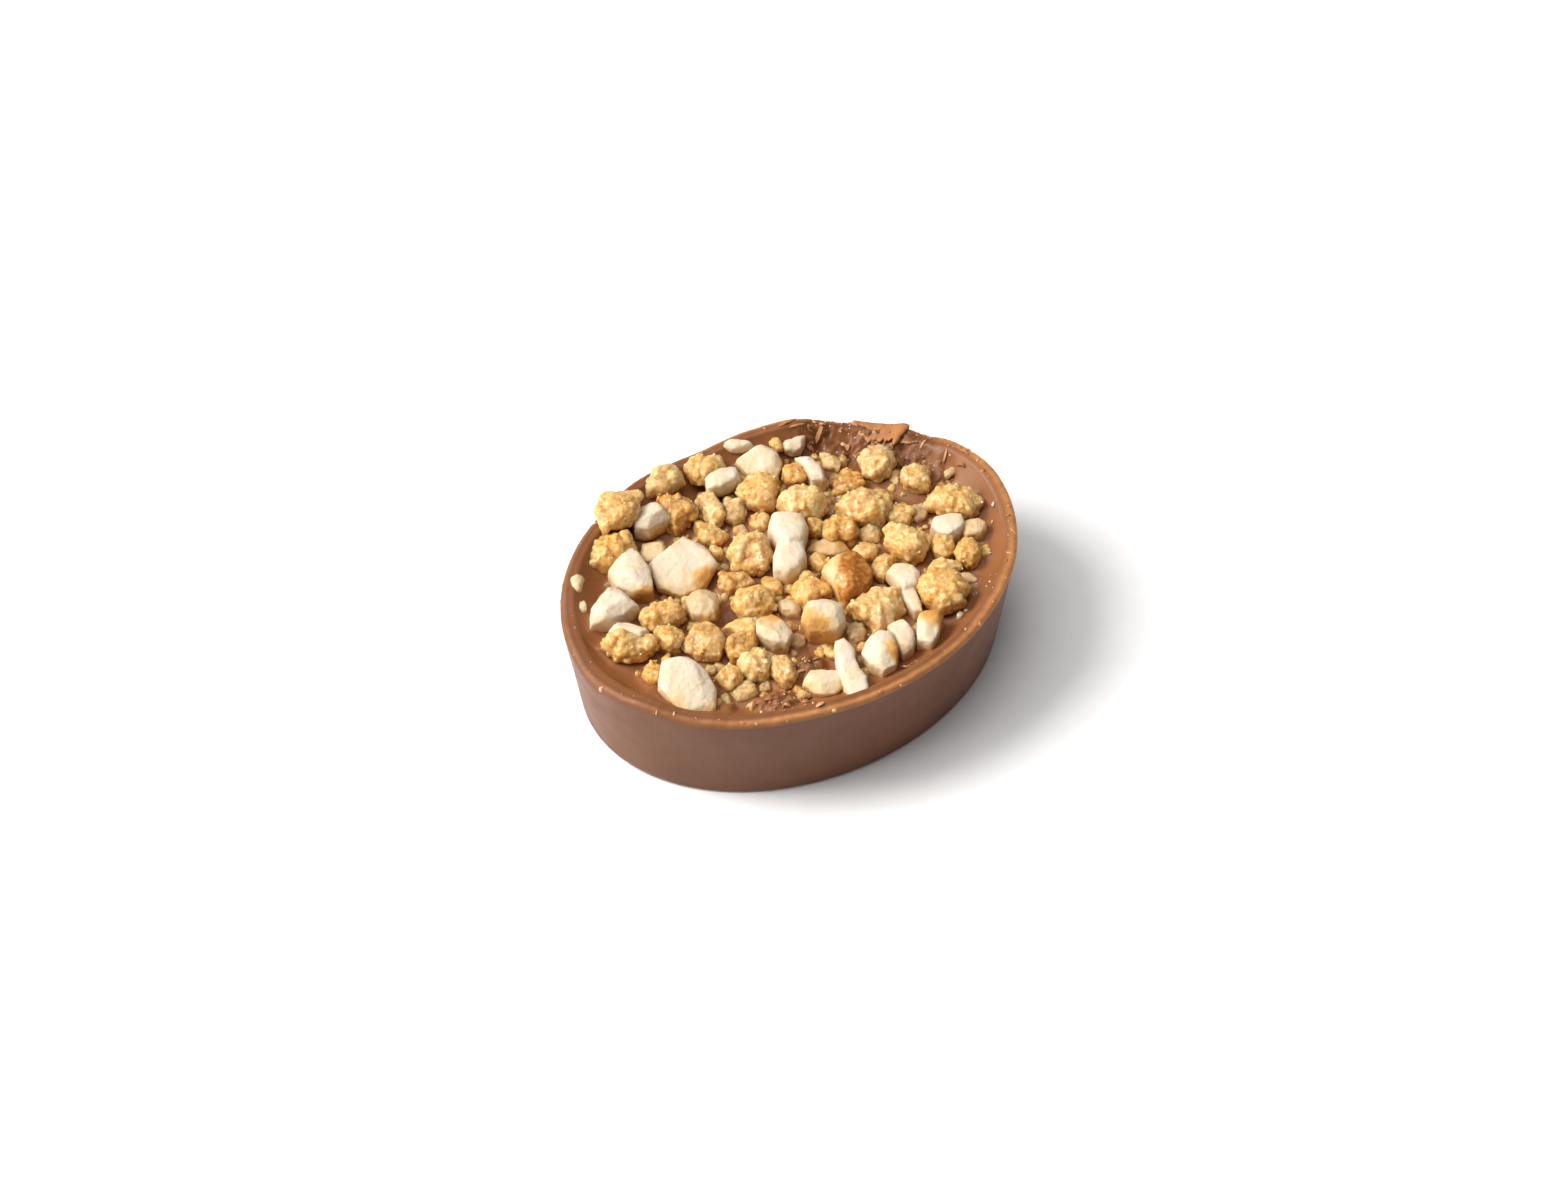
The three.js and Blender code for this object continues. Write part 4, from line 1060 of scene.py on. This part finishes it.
def makeSugar(crumbs, tree):
    bm = bmesh.new()
    points, normals = readPoints(crumbs), readNormals(crumbs)
    up = np.nonzero(normals[:, 2] > sugar["steepest"])[0]
    for i in range(sugar["onCrumbs"]):
        chosen = up[int(chance(i, 601) * len(up))]
        addGrain(bm, i, points[chosen], normals[chosen])
    for i in range(sugar["onChocolate"]):
        x, y, reach = sugarPlaces[i % len(sugarPlaces)]
        away, angle = reach * math.sqrt(chance(i, 602)), math.tau * chance(i, 603)
        place, normal = topAt(tree, x + away * math.cos(angle), y + away * math.sin(angle))
        addGrain(bm, i + sugar["onCrumbs"], place, normal)
    return bmeshToMesh(bm, "sugar_grains")


# Materials

def newMaterial(name):
    material = bpy.data.materials.new(name)
    material.use_nodes = True
    tree = material.node_tree
    tree.nodes.clear()
    output = tree.nodes.new("ShaderNodeOutputMaterial")
    shader = tree.nodes.new("ShaderNodeBsdfPrincipled")
    tree.links.new(shader.outputs["BSDF"], output.inputs["Surface"])
    return material, tree, shader


def put(tree, target, value):
    if isinstance(value, bpy.types.NodeSocket):
        tree.links.new(value, target)
    else:
        target.default_value = value


def shade(tree, name):
    node = tree.nodes.new("ShaderNodeAttribute")
    node.attribute_name = name
    return node.outputs["Fac"]


def textureNode(tree, kind, scale):
    # scale is in grains for each millimetre
    node = tree.nodes.new(kind)
    node.inputs["Scale"].default_value = scale / millimetre
    coordinates = tree.nodes.new("ShaderNodeTexCoord")
    tree.links.new(coordinates.outputs["Object"], node.inputs["Vector"])
    return node


def noiseNode(tree, scale, detail=3.0, roughness=0.5):
    node = textureNode(tree, "ShaderNodeTexNoise", scale)
    node.inputs["Detail"].default_value = detail
    node.inputs["Roughness"].default_value = roughness
    return node.outputs["Fac"]


def grainNode(tree, scale, output="Distance"):
    return textureNode(tree, "ShaderNodeTexVoronoi", scale).outputs[output]


def ramp(tree, value, stops):
    node = tree.nodes.new("ShaderNodeValToRGB")
    put(tree, node.inputs["Fac"], value)
    marks = node.color_ramp.elements
    while len(marks) < len(stops):
        marks.new(0.5)
    for mark, (place, colour) in zip(marks, stops):
        mark.position = place
        mark.color = (*colour, 1)
    return node.outputs["Color"]


def spread(tree, value, start, end, low=0.0, high=1.0):
    node = tree.nodes.new("ShaderNodeMapRange")
    put(tree, node.inputs["Value"], value)
    for name, number in (("From Min", start), ("From Max", end), ("To Min", low), ("To Max", high)):
        node.inputs[name].default_value = number
    return node.outputs["Result"]


def sums(tree, kind, first, second):
    node = tree.nodes.new("ShaderNodeMath")
    node.operation = kind
    put(tree, node.inputs[0], first)
    put(tree, node.inputs[1], second)
    return node.outputs["Value"]


def mixed(tree, amount, first, second):
    node = tree.nodes.new("ShaderNodeMix")
    node.data_type = "RGBA"
    put(tree, node.inputs["Factor"], amount)
    put(tree, node.inputs[6], first)
    put(tree, node.inputs[7], second if isinstance(second, bpy.types.NodeSocket) else (*second, 1))
    return node.outputs[2]


def bumped(tree, height, strength, distance):
    node = tree.nodes.new("ShaderNodeBump")
    node.inputs["Strength"].default_value = strength
    node.inputs["Distance"].default_value = distance * millimetre
    put(tree, node.inputs["Height"], height)
    return node.outputs["Normal"]


def setGlow(shader, weight, radius, depth):
    shader.inputs["Subsurface Weight"].default_value = weight
    shader.inputs["Subsurface Radius"].default_value = radius
    shader.inputs["Subsurface Scale"].default_value = depth * millimetre


chocolateTones = {
    "wall": [(0.3, (0.150, 0.055, 0.022)), (0.7, (0.172, 0.066, 0.028))],
    "inner": [(0.3, (0.235, 0.088, 0.029)), (0.7, (0.295, 0.115, 0.040))],
    # rim: colour of the painted glow of light along the rim edge; fresh: the shavings' own paler scraped
    # colour
    "rim": (0.70, 0.305, 0.105), "rimGlowMost": 0.9, "fresh": (0.74, 0.46, 0.25), "freshMost": 0.8,
    # torn: colour of the painted shade in torn pockets; fleck: pale flecks of scraped chocolate
    "torn": (0.115, 0.042, 0.015), "fleck": (0.5, 0.25, 0.11), "fleckMost": 0.35,
    "roughness": (0.36, 0.48), "shine": (0.2, 0.3), "bump": 0.12, "bumpDepth": 0.05,
}


def chocolateFinish():
    tones = chocolateTones
    material, tree, shader = newMaterial("milk_chocolate")
    cloud = noiseNode(tree, 0.22, detail=4)
    wall, inner = ramp(tree, cloud, tones["wall"]), ramp(tree, cloud, tones["inner"])
    colour = mixed(tree, shade(tree, "inside"), wall, inner)
    uneven = spread(tree, noiseNode(tree, 1.1), 0.35, 0.65, 0.65, 1.0)
    # crest: on the body the painted glow of light along the rim edge, on the shavings their own paler
    # scraped colour
    pale = spread(tree, shade(tree, "crest"), 0.1, 1, 0, tones["rimGlowMost"])
    colour = mixed(tree, sums(tree, "MULTIPLY", pale, uneven), colour, tones["rim"])
    fresh = sums(tree, "MULTIPLY", shade(tree, "fresh"), tones["freshMost"])
    colour = mixed(tree, fresh, colour, tones["fresh"])
    # painted shade: darker patches in the torn pockets of the scraped chocolate and the mounds
    tornShade = spread(tree, noiseNode(tree, 0.9), 0.35, 0.65, 0.15, 0.7)
    colour = mixed(tree, sums(tree, "MULTIPLY", tornShade, shade(tree, "torn")), colour, tones["torn"])
    fleck = spread(tree, noiseNode(tree, 3.2, detail=2), 0.62, 0.72, 0, tones["fleckMost"])
    colour = mixed(tree, sums(tree, "MULTIPLY", fleck, shade(tree, "torn")), colour, tones["fleck"])
    put(tree, shader.inputs["Base Color"], colour)
    put(tree, shader.inputs["Roughness"], spread(tree, noiseNode(tree, 0.5), 0.3, 0.7, *tones["roughness"]))
    shine = spread(tree, shade(tree, "inside"), 0, 1, *tones["shine"])
    put(tree, shader.inputs["Specular IOR Level"], shine)
    setGlow(shader, weight=0.12, radius=(1.0, 0.45, 0.2), depth=0.8)
    grain = noiseNode(tree, 1.6, detail=4, roughness=0.6)
    put(tree, shader.inputs["Normal"], bumped(tree, grain, tones["bump"], tones["bumpDepth"]))
    return material


crumbTones = {
    "warmth": [
        (0.0, (0.73, 0.53, 0.275)), (0.28, (0.70, 0.45, 0.172)), (0.58, (0.665, 0.365, 0.094)),
        (1.0, (0.42, 0.175, 0.035)),
    ],
    "patch": (-0.14, 0.14), "cell": (-0.07, 0.07), "hollow": (-0.1, 0.48),
    # glint: small pale spots, painted glints of light and white sugar specks
    "grey": (0.46, 0.34, 0.18), "greyMost": 0.6, "glint": (0.95, 0.87, 0.70), "glintMost": 0.7,
    "roughness": (0.18, 0.55), "bump": 0.42, "bumpDepth": 0.1,
}


def candiedFinish():
    tones = crumbTones
    material, tree, shader = newMaterial("candied_crumb")
    patch = spread(tree, noiseNode(tree, 0.9), 0.3, 0.7, *tones["patch"])
    cell = spread(tree, grainNode(tree, 1.3, "Color"), 0.1, 0.9, *tones["cell"])
    # painted shade: browner in the hollows between the knobs, a little paler on their tops
    hollow = spread(tree, shade(tree, "hollow"), -0.5, 1.0, *tones["hollow"])
    warmth = shade(tree, "warmth")
    for change in (patch, cell, hollow):
        warmth = sums(tree, "ADD", warmth, change)
    colour = ramp(tree, warmth, tones["warmth"])
    grey = sums(tree, "MULTIPLY", shade(tree, "greyness"), tones["greyMost"])
    colour = mixed(tree, grey, colour, tones["grey"])
    # small pale spots: painted glints of light, and white sugar specks
    glint = spread(tree, grainNode(tree, 2.6), 0.10, 0.18, 1, 0)
    where = spread(tree, noiseNode(tree, 0.8, detail=2), 0.45, 0.65, 0, tones["glintMost"])
    colour = mixed(tree, sums(tree, "MULTIPLY", glint, where), colour, tones["glint"])
    put(tree, shader.inputs["Base Color"], colour)
    gloss = noiseNode(tree, 1.8, detail=2)
    put(tree, shader.inputs["Roughness"], spread(tree, gloss, 0.35, 0.65, *tones["roughness"]))
    setGlow(shader, weight=0.85, radius=(1.0, 0.62, 0.26), depth=1.1)
    grain = sums(tree, "ADD", grainNode(tree, 3.4), noiseNode(tree, 6.0))
    put(tree, shader.inputs["Normal"], bumped(tree, grain, tones["bump"], tones["bumpDepth"]))
    return material


nutTones = {
    "toastAndShade": [
        (0.0, (0.715, 0.605, 0.475)), (0.25, (0.71, 0.54, 0.315)), (0.6, (0.70, 0.37, 0.090)),
        (1.0, (0.44, 0.19, 0.05)),
    ],
    "skin": [(0.25, (0.30, 0.085, 0.010)), (0.5, (0.48, 0.17, 0.025)), (0.75, (0.74, 0.40, 0.12))],
    "patch": (-0.05, 0.2), "hollow": (0, 0.16), "streak": (-0.18, 0.18),
    "grey": (0.38, 0.275, 0.16), "greyMost": 0.8, "pitShade": (0.58, 0.42, 0.23), "pitShadeMost": 0.45,
    "roughness": (0.6, 0.25), "bump": 0.5, "bumpDepth": 0.09,
}


def nutFinish():
    tones = nutTones
    material, tree, shader = newMaterial("nut")
    patch = spread(tree, noiseNode(tree, 0.55, detail=4), 0.35, 0.75, *tones["patch"])
    # this attribute holds the toasting and the painted warm shade towards the bottom
    toastAndShade = sums(tree, "ADD", shade(tree, "toastAndShade"), patch)
    # painted shade: tanner in the nut's hollows
    toastAndShade = sums(tree, "ADD", toastAndShade, spread(tree, shade(tree, "hollow"), 0.1, 1.0, *tones["hollow"]))
    colour = ramp(tree, toastAndShade, tones["toastAndShade"])
    grey = sums(tree, "MULTIPLY", shade(tree, "greyness"), tones["greyMost"])
    colour = mixed(tree, grey, colour, tones["grey"])
    streak = spread(tree, noiseNode(tree, 2.2), 0.3, 0.7, *tones["streak"])
    streak = sums(tree, "ADD", noiseNode(tree, 0.45, detail=4), streak)
    colour = mixed(tree, shade(tree, "skin"), colour, ramp(tree, streak, tones["skin"]))
    # dark specks: painted shade in fine pits of the nut
    pitShade = spread(tree, noiseNode(tree, 3.6, detail=2), 0.62, 0.72, 0, tones["pitShadeMost"])
    colour = mixed(tree, pitShade, colour, tones["pitShade"])
    put(tree, shader.inputs["Base Color"], colour)
    put(tree, shader.inputs["Roughness"], spread(tree, shade(tree, "skin"), 0, 1, *tones["roughness"]))
    setGlow(shader, weight=0.35, radius=(1.0, 0.6, 0.3), depth=0.9)
    grain = noiseNode(tree, 3.5, detail=4, roughness=0.6)
    put(tree, shader.inputs["Normal"], bumped(tree, grain, tones["bump"], tones["bumpDepth"]))
    return material


sugarTones = {
    "colour": [(0.35, (0.94, 0.80, 0.52)), (0.65, (0.97, 0.92, 0.80))],
    "roughness": (0.08, 0.3), "shine": 0.7,
}


def sugarFinish():
    tones = sugarTones
    material, tree, shader = newMaterial("sugar")
    put(tree, shader.inputs["Base Color"], ramp(tree, noiseNode(tree, 1.5, detail=2), tones["colour"]))
    gloss = noiseNode(tree, 6.0, detail=2)
    put(tree, shader.inputs["Roughness"], spread(tree, gloss, 0.3, 0.7, *tones["roughness"]))
    shader.inputs["Specular IOR Level"].default_value = tones["shine"]
    setGlow(shader, weight=0.3, radius=(1.0, 0.2, 0.1), depth=0.3)
    return material


# Floor, light and camera

studio = {
    "elevation": 52.0, "azimuth": -29.5, "distance": 0.3485, "right": -0.000834, "up": 0.00370, "lens": 100,
    "sensor": 36, "nearest": 0.01, "farthest": 20, "ambient": 0.15, "floorHalf": 3.0, "floorRoughness": 0.8,
    "floorTones": [(0.3, (0.90, 0.90, 0.905)), (0.7, (0.92, 0.92, 0.925))],
}
# name, place, width, power, colour
lightRows = [
    ("key", (-0.45, 0.27, 0.58), 0.35, 6.0, (1.0, 0.98, 0.95)),
    ("top", (-0.12, 0.12, 1.0), 0.9, 5.8, (1.0, 0.99, 0.98)),
    ("side", (-0.53, 0.15, 0.2), 0.4, 2.2, (1.0, 0.98, 0.96)),
]


def makeFloor():
    bm = bmesh.new()
    bmesh.ops.create_grid(bm, x_segments=1, y_segments=1, size=studio["floorHalf"])
    floor = bpy.data.objects.new("table", bmeshToMesh(bm, "table"))
    scene.collection.objects.link(floor)
    material, tree, shader = newMaterial("white_table")
    put(tree, shader.inputs["Base Color"], ramp(tree, noiseNode(tree, 0.4), studio["floorTones"]))
    shader.inputs["Roughness"].default_value = studio["floorRoughness"]
    floor.data.materials.append(material)


def addLight(name, place, width, power, colour):
    light = bpy.data.lights.new(name, "AREA")
    light.shape = "DISK"
    light.size = width
    light.energy = power
    light.color = colour
    lamp = bpy.data.objects.new(name, light)
    lamp.location = place
    lamp.rotation_euler = Vector(place).to_track_quat("Z", "Y").to_euler()
    scene.collection.objects.link(lamp)


def makeLight():
    world = bpy.data.worlds.new("studio")
    world.use_nodes = True
    sky = world.node_tree.nodes["Background"]
    sky.inputs["Color"].default_value = (1, 1, 1, 1)
    sky.inputs["Strength"].default_value = studio["ambient"]
    scene.world = world
    for row in lightRows:
        addLight(*row)


def makeCamera():
    a, e = math.radians(studio["azimuth"]), math.radians(studio["elevation"])
    back = Vector((math.sin(a) * math.cos(e), -math.cos(a) * math.cos(e), math.sin(e)))
    right = Vector((math.cos(a), math.sin(a), 0))
    up = back.cross(right)
    data = bpy.data.cameras.new("camera")
    data.lens = studio["lens"]
    data.sensor_width = studio["sensor"]
    data.sensor_fit = "HORIZONTAL"
    data.clip_start = studio["nearest"]
    data.clip_end = studio["farthest"]
    camera = bpy.data.objects.new("camera", data)
    place = back * studio["distance"] + right * studio["right"] + up * studio["up"]
    camera.matrix_world = Matrix.Translation(place) @ Matrix((right, up, back)).transposed().to_4x4()
    scene.collection.objects.link(camera)
    scene.camera = camera


scene.view_settings.view_transform = "Standard"
scene.view_settings.look = "None"
makeFloor()
makeLight()
makeCamera()
print("studio ready")

bodyMesh = makeBody()
bodyTree = skinTree(bodyMesh)
print("body ready")
candiedMesh = makeCandied()
nutMesh = makeNuts()
print("crumbs and nuts ready")
shavingMesh = makeShavings(bodyTree)
sugarMesh = makeSugar(candiedMesh, bodyTree)

chocolate = chocolateFinish()
pieces = [
    finishPiece("chocolate_body", bodyMesh, chocolate),
    finishPiece("candied_crumbs", candiedMesh, candiedFinish()),
    finishPiece("nut_pieces", nutMesh, nutFinish()),
    finishPiece("chocolate_shavings", shavingMesh, chocolate),
    finishPiece("sugar_grains", sugarMesh, sugarFinish()),
]
for piece in pieces:
    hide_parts("praline")
print("pieces ready")
